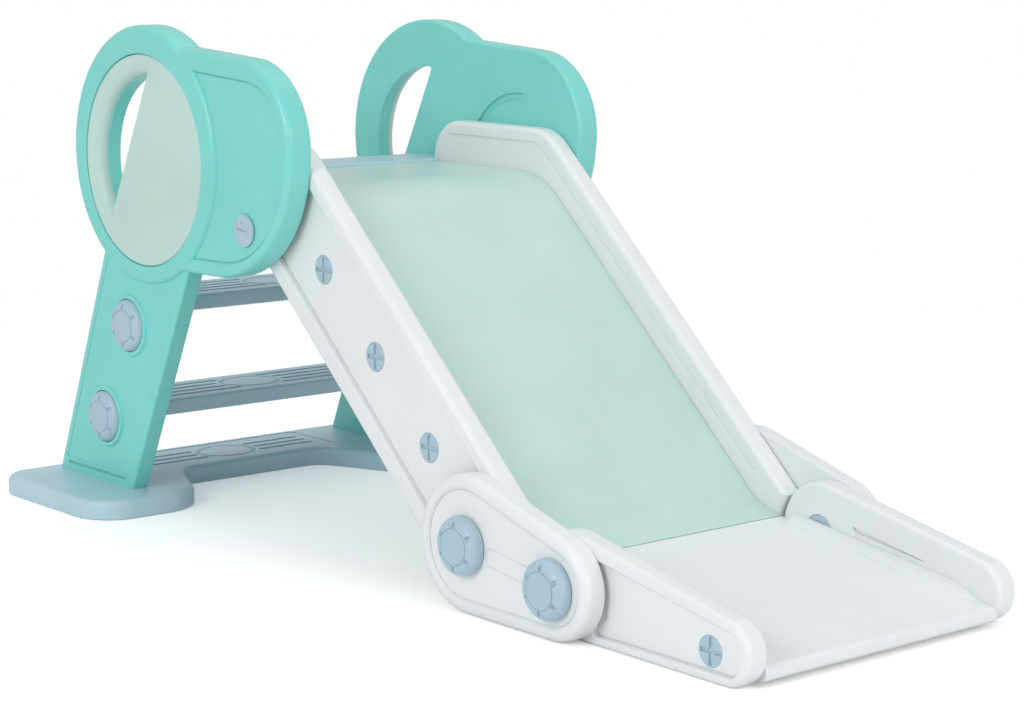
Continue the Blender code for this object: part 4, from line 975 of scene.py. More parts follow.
@dataclass(frozen=True)
class ChuteRail(Piece):
    """A chute rail: an I section with a sunk web, the screws' seats and the bore at the pivot."""

    slot = Slot.WHITE
    top_flange: float = 0.018
    bottom_flange: float = 0.025
    recess_round: float = 0.008
    boss_radius: float = 0.050
    rear_reach: float = 0.036
    bend_radius: float = 0.075
    edge: float = 0.008
    heel: float = 0.004
    heel_end: float = 0.045
    foot_gap: float = 0.005
    foot_points: int = 16
    groove_width: float = 0.008
    groove_end: float = 0.600
    hollow_start: float = 0.100

    def outline(self) -> Polygon:
        """Return the rail's line, hollowed at its foot for the run-out's round end.

        Returns:
            The outline.
        """
        room = LOWER_PIVOT[1] + self.foot_gap
        reach = sqrt(room ** 2 - chute_depth(LOWER_PIVOT) ** 2)
        top_end = chute_point(chute_run(LOWER_PIVOT) - reach, 0)
        last = atan2(top_end[1] - LOWER_PIVOT[1], top_end[0] - LOWER_PIVOT[0])
        hollow = tuple(
            (LOWER_PIVOT[0] + room * cos(a), LOWER_PIVOT[1] + room * sin(a), 0.0)
            for a in np.linspace(pi, last, self.foot_points).tolist())
        under = chute_bend(RAIL_DEPTH)
        heel_x = under[0] + (under[1] - self.heel) / tan(CHUTE_ANGLE)
        return Polygon((
            (RAIL_REAR_X, RAIL_TOP - RAIL_DEPTH, 0.020), (*under, 0.020), (heel_x, self.heel, 0.060),
            (UPPER_PIVOT[0] + self.heel_end, self.heel, 0.020), *hollow,
            (RAIL_BEND_X, RAIL_TOP, self.bend_radius), (RAIL_REAR_X, RAIL_TOP, 0.055)))

    def band(self, top: float, bottom: float, end: float, radius: float) -> Polygon:
        """Return the line of a band of the rail between two depths.

        Args:
            top: Depth of its upper edge.
            bottom: Depth of its lower edge.
            end: How far down the slope it ends.
            radius: Radius of its corners.

        Returns:
            The outline.
        """
        rear = RAIL_REAR_X + self.rear_reach
        return Polygon((
            (rear, RAIL_TOP - bottom, radius), (*chute_bend(bottom), max(radius, self.bend_radius - bottom)),
            (*chute_point(end, bottom), radius), (*chute_point(end, top), radius),
            (*chute_bend(top), max(radius, self.bend_radius - top)), (rear, RAIL_TOP - top, radius)))

    def plates(self) -> list[Plate]:
        """Return the rail, with its web outside and the bed's hollow, the groove and the nut's seat inside.

        Returns:
            Its plate.
        """
        low = RAIL_DEPTH - self.bottom_flange
        end = chute_run(UPPER_PIVOT) - self.boss_radius
        seats = tuple(dimple(place, SCREW_HEAD + 0.0014, 0.0031, 0.0010, 0.0003) for place in screw_places())
        web = Feature(self.band(self.top_flange, low, end, self.recess_round), lined(0.008, 0.003), seats)
        bosses = tuple(Feature(circle(place, 0.013), boss(0.0175, 0.001, 0.0005)) for place in screw_places())
        bed_depth = BED_DROP * cos(CHUTE_ANGLE) + 0.011
        spots = ((self.hollow_start, bed_depth), (self.hollow_start, low), (end, low), (end, bed_depth))
        hollow = Feature(
            Polygon(tuple((*chute_point(*spot), self.recess_round) for spot in spots)),
            pocket(0.0177, 0.001, 0.002), bosses)
        groove = Feature(
            self.band(self.top_flange, self.top_flange + self.groove_width, self.groove_end, 0.0038),
            pocket(0.0035, 0.0012, 0.0023))
        nut = dimple(UPPER_PIVOT, NUT_RADIUS + 0.0012, 0.008, 0.0008, 0.0003)
        stations = rims(RAIL_INNER, RAIL_OUTER, self.edge, self.edge)
        return [Plate(self.outline(), stations, (web,), (hollow, groove, nut))]


@dataclass(frozen=True)
class LinkPlate(Piece):
    """A link plate: a belt about both pivots with a raised rim, a sunk face and an oval line on it."""

    slot = Slot.WHITE
    body = Body.LINKS
    inner: float = 0.232
    outer: float = 0.262
    rim_round: float = 0.0105
    rim_width: float = 0.0125
    recess: float = 0.0036
    oval_span: Spot = (0.050, 0.135)
    oval_width: float = 0.024

    def plates(self) -> list[Plate]:
        """Return the plate.

        Returns:
            Its plate, with the oval line.
        """
        along = (LOWER_PIVOT[0] - UPPER_PIVOT[0], LOWER_PIVOT[1] - UPPER_PIVOT[1])
        length = hypot(*along)
        ends = [(UPPER_PIVOT[0] + along[0] / length * run, UPPER_PIVOT[1] + along[1] / length * run)
                for run in self.oval_span]
        line = [(0.0, 0.0), (0.0003, -0.0014), (0.0012, -0.0014), (0.0016, -0.0002)]
        stations = rims(self.inner, self.outer, 0.0015, self.rim_round)
        stations += [(self.rim_width + inset, self.outer + rise)
                     for inset, rise in lined(self.recess, 0.007, 0.0009, 0.0012)]
        outline = belt(UPPER_PIVOT, UPPER_PIVOT[1], LOWER_PIVOT, LOWER_PIVOT[1])
        oval = Feature(slot_outline(*ends, self.oval_width), line)
        return [Plate(outline, stations, (oval,))]


@dataclass(frozen=True)
class RunoutRail(Piece):
    """A run-out rail: round about the lower pivot, flat on the floor, with a sunk web, a slit and a mark."""

    slot = Slot.WHITE
    body = Body.RUNOUT
    toe_radius: float = 0.039
    top_flange: float = 0.014
    foot_flange: float = 0.009
    recess_rear: float = 0.040
    recess_round: float = 0.008
    edge: float = 0.007
    mark: tuple[Triple, ...] = (
        (0.4698, 0.0455, 0.0), (0.4722, 0.0372, 0.006), (0.4690, 0.0290, 0.0), (0.4750, 0.0372, 0.006))
    slit: tuple[Triple, ...] = (
        (0.478, 0.0755, 0.0), (0.592, 0.0590, 0.0), (0.592, 0.0600, 0.0), (0.471, 0.083, 0.0))

    def web(self) -> Polygon:
        """Return the line of the sunk web.

        Returns:
            The outline.
        """
        toe_x = TOE_X - self.toe_radius
        slope = atan2(LOWER_PIVOT[1] - self.toe_radius, (toe_x - LOWER_PIVOT[0]) / 2)
        rear_x = LOWER_PIVOT[0] + self.recess_rear
        top = 2 * LOWER_PIVOT[1] - self.recess_rear * tan(slope) - self.top_flange
        toe_top = top - (toe_x - rear_x) * tan(slope)
        end = TOE_X - self.top_flange
        return Polygon((
            (rear_x, self.foot_flange, self.recess_round), (end, self.foot_flange, self.toe_radius / 2),
            (end, toe_top, self.toe_radius / 2), (rear_x, top, self.recess_round)))

    def plates(self) -> list[Plate]:
        """Return the rail, with its web outside and the slit and the nut's seat inside.

        Returns:
            Its plate.
        """
        seat = dimple(RUNOUT_SCREW, SCREW_HEAD + 0.0009, 0.0031, 0.0008, 0.0002)
        mark = Feature(Polygon(self.mark), [(0.0, 0.0), (0.0003, -0.0025)])
        web = Feature(self.web(), lined(0.008, 0.003), (seat, mark))
        slit = Feature(Polygon(self.slit), [(0.0, 0.0), (0.0001, -0.0002), (0.0002, -0.004)])
        nut = dimple(LOWER_PIVOT, NUT_RADIUS + 0.0012, 0.008, 0.0008, 0.0003)
        toe = (TOE_X - self.toe_radius, self.toe_radius)
        outline = belt(LOWER_PIVOT, LOWER_PIVOT[1], toe, self.toe_radius)
        stations = rims(RAIL_INNER, RAIL_OUTER, self.edge, self.edge)
        return [Plate(outline, stations, (web,), (slit, nut))]


@dataclass(frozen=True)
class Tread:
    """The pattern of a tread: deep grooves across the step, broken by a raised oval line."""

    centre_x: float
    count: int
    end_y: float
    pitch: float = 0.023
    width: float = 0.0098
    depth: float = 0.0068
    oval_length: float = 0.096
    oval_depth: float = 0.080
    oval_gap: float = 0.004
    oval_points: int = 96

    def features(self) -> tuple[Feature, ...]:
        """Return the grooves and the oval.

        A groove at the offset d from the oval's middle ends where the oval's half length at d begins, which
        is half_length * sqrt(1 - (d / half_depth)^2).

        Returns:
            The features.
        """
        half = (self.oval_depth / 2, self.oval_length / 2)
        turns = np.arange(self.oval_points) * 2 * pi / self.oval_points
        oval = Polygon(tuple(
            (self.centre_x + half[0] * cos(a), half[1] * sin(a), 0.0) for a in turns.tolist()))
        made = [Feature(oval, [
            (0.0, 0.0), (0.0003, -0.0018), (0.0012, -0.0018), (0.0016, 0.0002), (0.0022, 0.0008),
            (0.0036, 0.0008), (0.0042, 0.0002), (0.0046, -0.0018), (0.0055, -0.0018), (0.0058, 0.0)])]
        for i in range(self.count):
            offset = (i - (self.count - 1) / 2) * self.pitch
            low, high = self.centre_x + offset - self.width / 2, self.centre_x + offset + self.width / 2
            nearest = max(0.0, abs(offset) - self.width / 2) / half[0]
            clear = half[1] * sqrt(1 - nearest ** 2) + self.oval_gap
            for near, far in ((clear, self.end_y), (-self.end_y, -clear)):
                groove = box((low, near), (high, far), self.width * 0.42)
                made.append(Feature(groove, pocket(self.depth, 0.0004, 0.0010)))
        return tuple(made)


@dataclass(frozen=True)
class Step(Piece):
    """A step with a boss at each end for the knob's bolt."""

    slot = Slot.BLUE_GREY
    top: float
    knob: Spot
    rear_gap: float = 0.002
    depth: float = 0.124
    thickness: float = 0.023
    end: float = 0.237
    edge: float = 0.004
    grooves: int = 4
    groove_end: float = 0.2257
    boss_half: float = 0.020
    boss_drop: float = 0.018
    boss_round: float = 0.014
    boss_end: float = 0.2377
    boss_length: float = 0.030

    def solids(self, side: int) -> list[Mesh]:
        """Return the board and a boss at each end.

        Args:
            side: 0, as the piece spans both sides; not used.

        Returns:
            Their meshes.
        """
        rear = leg_span(self.top)[0][0] + self.rear_gap
        front = rear + self.depth
        tread = Tread((rear + front) / 2, self.grooves, self.groove_end)
        board = Plate(
            box((rear, -self.end), (front, self.end), self.edge),
            rims(self.top - self.thickness, self.top, self.edge, self.edge), tread.features())
        (x, z), half, top = self.knob, self.boss_half, self.top - self.edge
        low = z - self.boss_drop
        line = Polygon((
            (x - half, low, self.boss_round), (x + half, low, self.boss_round), (x + half, top, 0.0),
            (x - half, top, 0.0)))
        carrier = Plate(line, rims(self.boss_end - self.boss_length, self.boss_end, 0.001, 0.0006))
        return [solid([board]), *(solid([carrier], end) for end in SIDES.values())]


@dataclass(frozen=True)
class BaseFrame(Piece):
    """The base: a crossbar that serves as the lowest step, with a foot pad under each panel."""

    slot = Slot.BLUE_GREY
    heel_x: float = -0.7125
    nose_x: float = -0.430
    bar_depth: float = 0.1415
    bar_reach: float = 0.126
    pad_inner: float = 0.190
    pad_outer: float = 0.358
    thickness: float = 0.028
    edge: float = 0.009
    sole: float = 0.003
    tread_gap: float = 0.004
    tread_reach: float = 0.168
    tread_round: float = 0.012
    grooves: int = 3
    groove_end: float = 0.150

    def plates(self) -> list[Plate]:
        """Return the base.

        Returns:
            Its plate.
        """
        front = self.heel_x + self.bar_depth
        outline = mirrored([
            (front, self.bar_reach, 0.038), (self.nose_x, self.pad_inner, 0.075),
            (self.nose_x, self.pad_outer, 0.060), (self.heel_x, self.pad_outer, 0.045)])
        tread = Tread((self.heel_x + front) / 2, self.grooves, self.groove_end)
        low, high = self.heel_x + self.edge + self.tread_gap, front - self.edge - self.tread_gap
        panel = Feature(
            box((low, -self.tread_reach), (high, self.tread_reach), self.tread_round),
            lined(0.0010, 0.0010, 0.0012, 0.0008, 0.0006), tread.features())
        return [Plate(outline, rims(0.0, self.thickness, self.sole, self.edge), (panel,))]


@dataclass(frozen=True)
class Deck(Piece):
    """The deck: a board between the panels, with a tongue under the bed and pegs in the panels."""

    slot = Slot.BLUE_GREY
    top: float = 0.490
    thickness: float = 0.024
    rear_x: float = -0.452
    lip_end: float = -0.3603
    board_end: float = RAIL_OUTER
    tongue_x: Spot = (-0.3903, -0.215)
    tongue_gap: float = 0.012
    tongue_drop: float = 0.0103
    peg_radius: float = 0.008
    peg_set: float = 0.014
    peg_drop: float = 0.012
    peg_span: Spot = (0.1967, 0.242)

    def solids(self, side: int) -> list[Mesh]:
        """Return the board, the tongue and both pegs.

        Args:
            side: 0, as the piece spans both sides; not used.

        Returns:
            Their meshes.
        """
        rail_start = RAIL_REAR_X - FIT
        outline = mirrored([
            (self.lip_end, BED_EDGE, 0.0), (rail_start, BED_EDGE, 0.0), (rail_start, self.board_end, 0.0),
            (self.rear_x, self.board_end, 0.035)])
        board = Plate(outline, rims(self.top - self.thickness, self.top, 0.0025, 0.005))
        (rear, front), reach = self.tongue_x, BED_EDGE - self.tongue_gap
        line = Polygon((
            (rear, -reach, 0.002), (front, -reach, 0.008), (front, reach, 0.008), (rear, reach, 0.002)))
        top = RAIL_TOP - BED_DROP - self.tongue_drop
        tongue = Plate(line, rims(top - self.thickness, top, 0.002, 0.002))
        place = (rail_start - self.peg_set, self.top - self.peg_drop)
        peg = Plate(circle(place, self.peg_radius), rims(*self.peg_span, 0.001, 0.001))
        return [solid([board]), solid([tongue]), *(solid([peg], end) for end in SIDES.values())]


@dataclass(frozen=True)
class SlideBed(Piece):
    """The bed: a curved sheet with a skirt along each rail and ribs between the skirts."""

    slot = Slot.BED
    thickness: float = 0.010
    rear_x: float = -0.360
    foot_z: float = 0.089
    tip: Spot = (0.3480, 0.0745)
    bend_radius: float = 0.120
    foot_radius: float = 0.060
    sink: float = 0.005
    skirt_span: Spot = (-0.190, 0.262)
    skirt_round: float = 0.040
    skirt_height: float = 0.062
    skirt_width: float = 0.012
    rib_height: float = 0.036
    rib_half: float = 0.003
    rib_inset: float = 0.006

    def ribbon(self, path: list[Triple], thickness: float) -> Polygon:
        """Return the line of a strip whose top follows a path running towards +X.

        Each corner's twin under the strip lies along its mitre, and a fillet shrinks by the thickness where
        the path turns down and grows by it where it turns up.

        Args:
            path: The path's corners (x, z, radius).
            thickness: The strip's thickness.

        Returns:
            The outline.
        """
        points = np.array(path)
        runs = np.diff(points[:, :2], axis=0)
        runs /= np.linalg.norm(runs, axis=1)[:, None]
        first = np.concatenate([runs[:1], runs])
        last = np.concatenate([runs, runs[-1:]])
        mitre = 1 + (first * last).sum(axis=1)
        under_x = points[:, 0] + thickness * (first[:, 1] + last[:, 1]) / mitre
        under_z = points[:, 1] - thickness * (first[:, 0] + last[:, 0]) / mitre
        falls = first[:, 0] * last[:, 1] - first[:, 1] * last[:, 0] < 0
        radius = np.where(falls, np.maximum(points[:, 2] - thickness, 0.0005), points[:, 2] + thickness)
        radius = np.where(points[:, 2] > 0, radius, 0)
        under = list(zip(under_x.tolist(), under_z.tolist(), radius.tolist()))
        return Polygon(tuple(under + path[::-1]))

    def solids(self, side: int) -> list[Mesh]:
        """Return the sheet, both skirts and the ribs.

        Args:
            side: 0, as the piece spans both sides; not used.

        Returns:
            Their meshes.
        """
        bed_z = RAIL_TOP - BED_DROP
        foot_x = RAIL_BEND_X + (bed_z - self.foot_z) / tan(CHUTE_ANGLE)
        path = [(self.rear_x, bed_z, 0.0), (RAIL_BEND_X, bed_z, self.bend_radius),
                (foot_x, self.foot_z, self.foot_radius), (*self.tip, 0.0)]
        sheet = Plate(self.ribbon(path, self.thickness), rims(-BED_EDGE, BED_EDGE, 0.0015, 0.0015))
        start_x, end_x = self.skirt_span
        end_z = bed_z - (end_x - RAIL_BEND_X) * tan(CHUTE_ANGLE)
        sunk = [(start_x, bed_z - self.sink, 0.0), (RAIL_BEND_X, bed_z - self.sink, self.skirt_round),
                (end_x, end_z - self.sink, 0.0)]
        skirt = Plate(
            self.ribbon(sunk, self.skirt_height), rims(BED_EDGE - self.skirt_width, BED_EDGE, 0.001, 0.0005))
        top = BED_DROP * cos(CHUTE_ANGLE) + self.sink
        low, half, reach = top + self.rib_height, self.rib_half, BED_EDGE - self.rib_inset
        lines = [Polygon((
            (*chute_point(run - half, low), 0.0015), (*chute_point(run + half, low), 0.0015),
            (*chute_point(run + half, top), 0.0), (*chute_point(run - half, top), 0.0)))
            for run in map(chute_run, screw_places())]
        ribs = [solid([Plate(line, rims(-reach, reach, 0.0003, 0.0003))], 1) for line in lines]
        return [solid([sheet], 1), *(solid([skirt], end) for end in SIDES.values()), *ribs]


@dataclass(frozen=True)
class RunoutBed(Piece):
    """The run-out's bed: round about the lower pivot, with a rolled toe and edges that rise to the rails."""

    slot = Slot.WHITE
    body = Body.RUNOUT
    rear_z: float = 0.0745
    toe: Spot = (0.7085, 0.0250)
    thickness: float = 0.014
    rear_points: int = 6
    roll_radius: float = 0.0090
    roll_height: float = 0.0185
    cove_width: float = 0.014
    cove_height: float = 0.012
    cove_lip: float = 0.005
    cove_span: Spot = (0.362, 0.690)
    cove_ease: Spot = (0.016, 0.050)
    cove_sink: float = 0.0006
    cove_points: int = 14
    cove_sections: int = 64

    def solids(self, side: int) -> list[Mesh]:
        """Return the sheet and both hollow edges.

        Args:
            side: 0, as the piece spans both sides; not used.

        Returns:
            Their meshes.
        """
        x, z = LOWER_PIVOT
        rise = self.rear_z - z
        rear_x = x - sqrt(z ** 2 - rise ** 2)
        fall = (self.toe[1] - self.rear_z) / (self.toe[0] - rear_x)
        first = atan2(rise, rear_x - x)
        rear = tuple((x + z * cos(a), z + z * sin(a), 0.0)
                     for a in np.linspace(first, first + self.thickness / z, self.rear_points).tolist())
        low_z = self.toe[1] - self.roll_height
        back_x = self.toe[0] - 2 * self.roll_radius
        under_z = rear[-1][1] + (back_x - rear[-1][0]) * fall
        outline = Polygon((
            *rear, (back_x, under_z, 0.0), (back_x, low_z, self.roll_radius / 2),
            (self.toe[0], low_z, self.roll_radius), (*self.toe, self.roll_radius)))
        sheet = solid([Plate(outline, rims(-BED_EDGE, BED_EDGE, 0.001, 0.001))], 1)
        return [sheet, *(self._cove(rear_x, fall, end) for end in SIDES.values())]

    def _cove(self, rear_x: float, fall: float, side: int) -> Mesh:
        """Loft the hollow edge along one rail.

        Its section is a quarter of an ellipse, y = foot + (width - lip) sin a and z = height (1 - cos a), and
        its height rises and dies out over its ends as a smooth step.

        Args:
            rear_x: Where the bed begins.
            fall: The bed's slope.
            side: The side of the slide, 1 or -1.

        Returns:
            The mesh.
        """
        along = np.linspace(*self.cove_span, self.cove_sections)
        share = smooth((along - self.cove_span[0]) / self.cove_ease[0])
        share = share * smooth((self.cove_span[1] - along) / self.cove_ease[1])
        height = self.cove_height * share - self.cove_sink * (1 - share)
        angle = np.linspace(0, pi / 2, self.cove_points)
        foot = BED_EDGE - self.cove_width
        reach = self.cove_width - self.cove_lip
        y = np.concatenate([[BED_EDGE, foot], foot + reach * np.sin(angle), [BED_EDGE]])
        part = np.concatenate([1 - np.cos(angle), [1.0]])
        below = [-self.thickness / 2] * 2
        rows = []
        for x, top in zip(along.tolist(), height.tolist()):
            z = self.rear_z + (x - rear_x) * fall + np.concatenate([below, top * part])
            rows.append(np.stack([np.full(len(y), x), side * y, z], axis=1))
        shell = Shell()
        shell.tube(rows)
        return shell.mesh()


@dataclass(frozen=True)
class Knob(Piece):
    """A hand knob with its bolt: a fat round rim with six notches about a flat face ringed by a fine line."""

    body = None
    crease = 40.0
    place: Spot
    slot: Slot
    seat: float
    height: float
    tip: float
    radius: float = KNOB_RADIUS
    bolt: float = 0.006
    rounding: float = 0.0120
    line: float = 0.0230
    line_edge: float = 0.0004
    line_depth: float = 0.0010
    cusp: float = 0.0008
    cusp_reach: float = 0.0022
    notches: int = 6
    notch_depth: float = 0.0038
    notch_ramp: float = 0.0026
    half_width: float = 0.0030
    flank: float = 0.0011
    spokes: int = 40
    crowding: float = 0.65

    def solids(self, side: int) -> list[Mesh]:
        """Build the knob as a surface of its profile's run t and of the angle a.

        A notch has a level floor, so its depth under the profile's h(t) is what is left of the notch's depth
        under the grip's top, times B(r) * N(a), where B is the smooth step from the face's line outwards and
        N the smooth step across a notch. Near the line the radius grows by cusp * exp(-(s / half width)^2),
        where s is the distance from the notch's middle.

        Args:
            side: The side of the slide, 1 or -1.

        Returns:
            The mesh.
        """
        angle, away = self._angles()
        r, h = (np.repeat(column[:, None], len(angle), axis=1) for column in self._profile().T)
        across = np.abs(away)[None, :] * r
        floor = self.seat + self.height - self.notch_depth
        beyond = r - self.line - self.line_edge
        sunk = np.clip(h - floor, 0, None) * (r > self.line)
        near_line = np.exp(-(beyond / self.cusp_reach) ** 2) * np.exp(-(across / self.half_width) ** 2)
        h = h - sunk * smooth(beyond / self.notch_ramp) * smooth((self.half_width - across) / self.flank)
        r = r + self.cusp * near_line * (h > floor - 0.001)
        x, z = self.place
        shell = Shell()
        shell.tube([
            np.stack([x + radius * np.cos(angle), z + radius * np.sin(angle), height], axis=1)
            for radius, height in zip(r, h)])
        return [shell.mesh(side)]

    def _profile(self) -> np.ndarray:
        """Return the profile's (radius, height) points, from the face over the rim to the bolt's tip.

        Returns:
            The points, one row each.
        """
        top = self.seat + self.height
        low = top - self.line_depth
        face = [(r, top) for r in (0.0012, 0.008, 0.015, 0.020, 0.0224)]
        line = [(self.line - 0.0007, top), (self.line - 0.0003, low), (self.line + 0.0003, low),
                (self.line + 0.0008, top - 0.0001)]
        edge = self.radius - self.rounding
        flat = [(r, top) for r in np.linspace(self.line + 0.0012, edge - 0.0004, 6).tolist()]
        rim = [(self.radius - self.rounding * (1 - cos(a)), top - self.rounding * (1 - sin(a)))
               for a in np.linspace(pi / 2, 0, 14).tolist()]
        wall = [(self.radius, h)
                for h in np.linspace(top - self.rounding - 0.0006, self.seat + 0.0012, 6).tolist()]
        under = [(self.radius - 0.0012, self.seat), (self.bolt, self.seat), (self.bolt, self.tip + 0.001),
                 (self.bolt - 0.001, self.tip)]
        return np.array(face + line + flat + rim + wall + under)

    def _angles(self) -> tuple[np.ndarray, np.ndarray]:
        """Return the spokes' angles, which crowd at the notches, and their angles from the nearest notch.

        Returns:
            Both as rows.
        """
        pitch = 2 * pi / self.notches
        even = np.arange(self.spokes) * 2 / self.spokes - 1
        away = pitch / 2 * ((1 - self.crowding) * even + self.crowding * even ** 3)
        middles = pitch / 2 + np.arange(self.notches) * pitch
        return (middles[:, None] + away[None, :]).ravel(), np.tile(away, self.notches)


@dataclass(frozen=True)
class Screw(Piece):
    """A flat-headed screw, its head cut with a cross or, on the guard, with a dot and a dash."""

    place: Spot
    slot: Slot
    head: float
    shank: float
    face: float
    tip: float
    body: Body = Body.FRAME
    crossed: bool = True
    thickness: float = 0.003

    def solids(self, side: int) -> list[Mesh]:
        """Return the head and the shank.

        Args:
            side: The side of the slide, 1 or -1.

        Returns:
            Their meshes.
        """
        low = self.face - self.thickness
        marks = self._cross() if self.crossed else self._dot_and_dash()
        head = Plate(circle(self.place, self.head), rims(low, self.face, 0.0004, 0.0009), marks)
        shank = Plate(circle(self.place, self.shank), rims(self.tip, low + 0.0005, 0.001, 0.0002))
        return [solid([head], side), solid([shank], side)]

    def _cross(self) -> tuple[Feature, ...]:
        """Return a cross slot, from its arms' half width a and half length b.

        Returns:
            The mark.
        """
        x, z = self.place
        a, b = 0.0032, 0.0166
        spots = ((b, -a), (b, a), (a, a), (a, b), (-a, b), (-a, a), (-b, a), (-b, -a), (-a, -a), (-a, -b),
                 (a, -b), (a, -a))
        line = Polygon(tuple((x + u, z + v, 0.0008) for u, v in spots))
        return (Feature(line, pocket(0.0026, 0.0006, 0.0004)),)

    def _dot_and_dash(self) -> tuple[Feature, ...]:
        """Return the two plain marks on the guard screw.

        Returns:
            The marks.
        """
        x, z = self.place
        dash = slot_outline((x - 0.0145, z + 0.0016), (x + 0.0075, z - 0.0006), 0.0026)
        return (dimple((x - 0.0034, z + 0.0109), 0.0019, 0.0012, 0.0003, 0.0003),
                Feature(dash, pocket(0.0018, 0.0003, 0.0003)))


@dataclass(frozen=True)
class Nut(Piece):
    """The flush nut that a link knob's bolt screws into."""

    slot = Slot.KNOB
    place: Spot
    body: Body
    outer: float = 0.2077
    face: float = 0.2002
    ring: float = 0.0165

    def plates(self) -> list[Plate]:
        """Return the nut, with a round pocket in its face.

        Returns:
            Its plate.
        """
        sunk = dimple(self.place, self.ring, 0.0008, 0.0004, 0.0003)
        stations = rims(self.face, self.outer, 0.0012, 0.0004)
        return [Plate(circle(self.place, NUT_RADIUS), stations, (), (sunk,))]


@dataclass(frozen=True)
class Lamp:
    """A soft square lamp that faces a point, its power in watts."""

    name: str
    place: Triple
    aim: Triple
    size: float
    power: float

    def build(self) -> None:
        """Add the lamp."""
        data = bpy.data.lights.new(self.name, "AREA")
        data.size = self.size
        data.energy = self.power
        lamp = bpy.data.objects.new(self.name, data)
        lamp.location = self.place
        heading = np.array(self.aim) - np.array(self.place)
        level = hypot(heading[0], heading[1])
        lamp.rotation_euler = (atan2(level, -heading[2]), 0, atan2(-heading[0], heading[1]))
        bpy.context.scene.collection.objects.link(lamp)


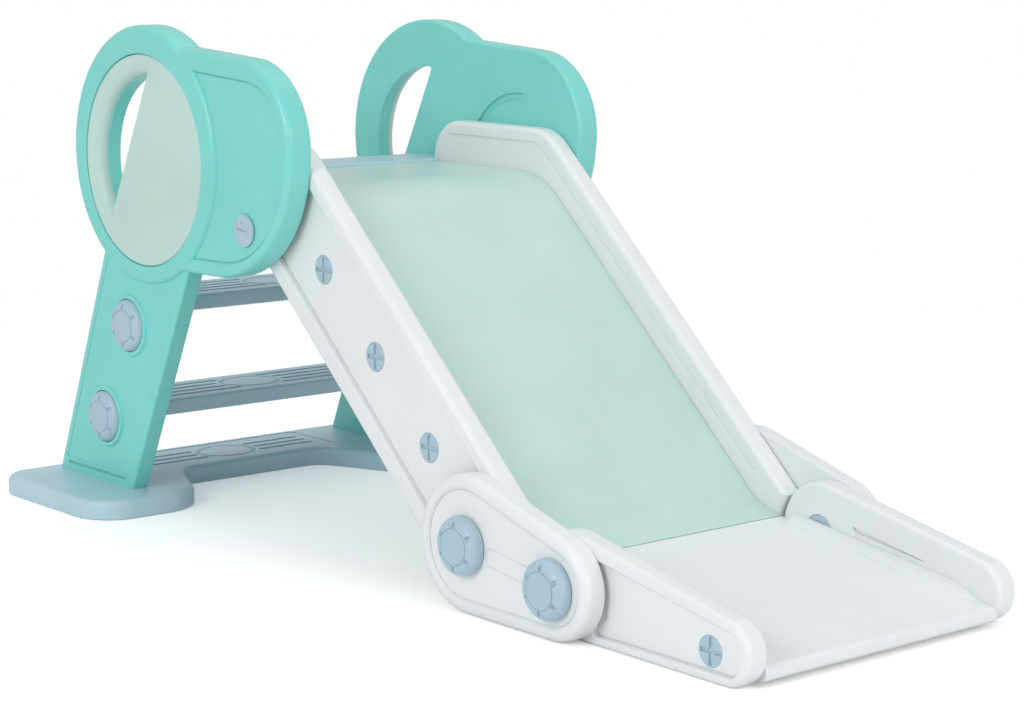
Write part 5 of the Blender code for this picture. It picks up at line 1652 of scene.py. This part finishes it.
@dataclass(frozen=True)
class Studio:
    """The camera, the floor, the lamps and the light all round."""

    camera_place: Triple = (2.55362, -2.15453, 0.8161)
    azimuth: float = 49.14481
    elevation: float = 10.95243
    roll: float = 0.5288
    lens: float = 88.52195
    sensor: float = 36
    shift: Spot = (-0.01064, 0.06615)
    floor_half: float = 6.0
    floor_grey: float = 0.93
    floor_lift: float = 0.30
    floor_fade: Spot = (1.3, 2.6)
    sky: Triple = (0.97, 0.985, 1.0)
    sky_strength: float = 0.62
    lamps: tuple[Lamp, ...] = (
        Lamp("key", (0.9, -3.9, 2.2), (0.0, 0.0, 0.25), 1.7, 55.0),
        Lamp("fill", (4.0, 0.2, 1.9), (0.1, 0.0, 0.25), 2.0, 40.0),
        Lamp("top", (-0.6, 0.8, 4.2), (0.0, 0.0, 0.0), 3.2, 27.0))

    def build(self) -> None:
        """Set up the whole studio."""
        bpy.context.scene.view_settings.view_transform = "Standard"
        self._camera()
        self._floor()
        for lamp in self.lamps:
            lamp.build()
        self._world()

    def _camera(self) -> None:
        """Add the camera at the photograph's angle."""
        data = bpy.data.cameras.new("camera")
        data.lens = self.lens
        data.sensor_width = self.sensor
        data.shift_x, data.shift_y = self.shift
        camera = bpy.data.objects.new("camera", data)
        camera.location = self.camera_place
        turns = ((self.azimuth, "Z"), (90 - self.elevation, "X"), (self.roll, "Z"))
        first, second, third = (Matrix.Rotation(radians(angle), 4, axis) for angle, axis in turns)
        camera.rotation_euler = (first @ second @ third).to_euler()
        bpy.context.scene.collection.objects.link(camera)
        bpy.context.scene.camera = camera

    def _floor(self) -> None:
        """Add a pale floor that looks lighter to the camera and fades out well away from the slide."""
        half = self.floor_half
        mesh = bpy.data.meshes.new("floor")
        spots = [(-half, -half, 0), (half, -half, 0), (half, half, 0), (-half, half, 0)]
        mesh.from_pydata(spots, [], [(0, 1, 2, 3)])
        floor = bpy.data.objects.new("floor", mesh)
        bpy.context.scene.collection.objects.link(floor)
        material = bpy.data.materials.new("floor")
        wiring = Wiring(material)
        shader = wiring.tune("Principled BSDF", {
            "Roughness": 0.9, "Specular IOR Level": 0.1, "Base Color": (*[self.floor_grey] * 3, 1),
            "Emission Color": (1, 1, 1, 1)})
        path = wiring.add("LightPath")
        lift = wiring.add("Math", {1: self.floor_lift})
        lift.operation = "MULTIPLY"
        place = wiring.add("TexCoord")
        length = wiring.add("VectorMath")
        length.operation = "LENGTH"
        fade = wiring.add("MapRange", {"From Min": self.floor_fade[0], "From Max": self.floor_fade[1]})
        fade.interpolation_type = "SMOOTHSTEP"
        clear = wiring.add("BsdfTransparent")
        mix = wiring.add("MixShader")
        output = wiring.tune("Material Output", {})
        wiring.join(
            (path, "Is Camera Ray", lift, 0), (lift, "Value", shader, "Emission Strength"),
            (place, "Object", length, 0), (length, "Value", fade, "Value"), (fade, "Result", mix, "Fac"),
            (shader, "BSDF", mix, 1), (clear, "BSDF", mix, 2), (mix, "Shader", output, "Surface"))
        mesh.materials.append(material)

    def _world(self) -> None:
        """Light the scene evenly, and show white where a ray leaves it straight from the camera."""
        world = bpy.data.worlds.new("studio")
        bpy.context.scene.world = world
        wiring = Wiring(world)
        glow = wiring.tune("Background", {"Color": (*self.sky, 1), "Strength": self.sky_strength})
        white = wiring.add("Background", {"Color": (1, 1, 1, 1), "Strength": 1.0})
        path = wiring.add("LightPath")
        mix = wiring.add("MixShader")
        output = wiring.tune("World Output", {})
        wiring.join(
            (path, "Is Camera Ray", mix, "Fac"), (glow, "Background", mix, 1), (white, "Background", mix, 2),
            (mix, "Shader", output, "Surface"))


def side_pieces() -> dict[str, Piece]:
    """Return the pieces that each side of the slide has, by what stands before the side in a node's name.

    Returns:
        The pieces.
    """
    pieces = {
        "side_panel": SidePanel(), "head_disc": HeadDisc(), "chute_rail": ChuteRail(),
        "link_plate": LinkPlate(), "runout_rail": RunoutRail()}
    for level, place in LEG_KNOBS.items():
        pieces[f"leg_knob_{level}"] = Knob(place, Slot.SCREW, seat=0.2643, height=0.014, tip=0.2137)
    for level, place, body in (("upper", UPPER_PIVOT, Body.FRAME), ("lower", LOWER_PIVOT, Body.RUNOUT)):
        pieces[f"link_knob_{level}"] = Knob(place, Slot.KNOB, seat=0.2593, height=0.019, tip=0.2025)
        pieces[f"link_nut_{level}"] = Nut(place, body)
    for i, place in enumerate(screw_places(), 1):
        screw = Screw(place, Slot.KNOB, SCREW_HEAD, shank=0.004, face=RAIL_WEB, tip=0.1907)
        pieces[f"rail_screw_{i}"] = screw
    pieces["runout_screw"] = Screw(
        RUNOUT_SCREW, Slot.KNOB, SCREW_HEAD, shank=0.003, face=RAIL_WEB, tip=0.1947, body=Body.RUNOUT)
    pieces["guard_screw"] = Screw(
        GUARD_SCREW, Slot.SCREW, 0.0215, shank=0.004, face=0.2698, tip=0.2157, crossed=False)
    return pieces


def main() -> None:
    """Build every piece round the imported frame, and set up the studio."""
    logging.basicConfig(level=logging.INFO, format="%(name)s: %(message)s")
    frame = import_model()
    shop = Workshop()
    shop.dress(frame)
    BaseFrame().build(shop, "base_frame")
    Deck().build(shop, "deck")
    SlideBed().build(shop, "slide_bed")
    RunoutBed().build(shop, "runout_bed")
    for level, top in STEP_TOPS.items():
        Step(top, LEG_KNOBS[level]).build(shop, f"step_{level}")
    for name, side in SIDES.items():
        for node, piece in side_pieces().items():
            piece.build(shop, f"{node}_{name}", side)
    Studio().build()


if __name__ == "__main__":
    main()
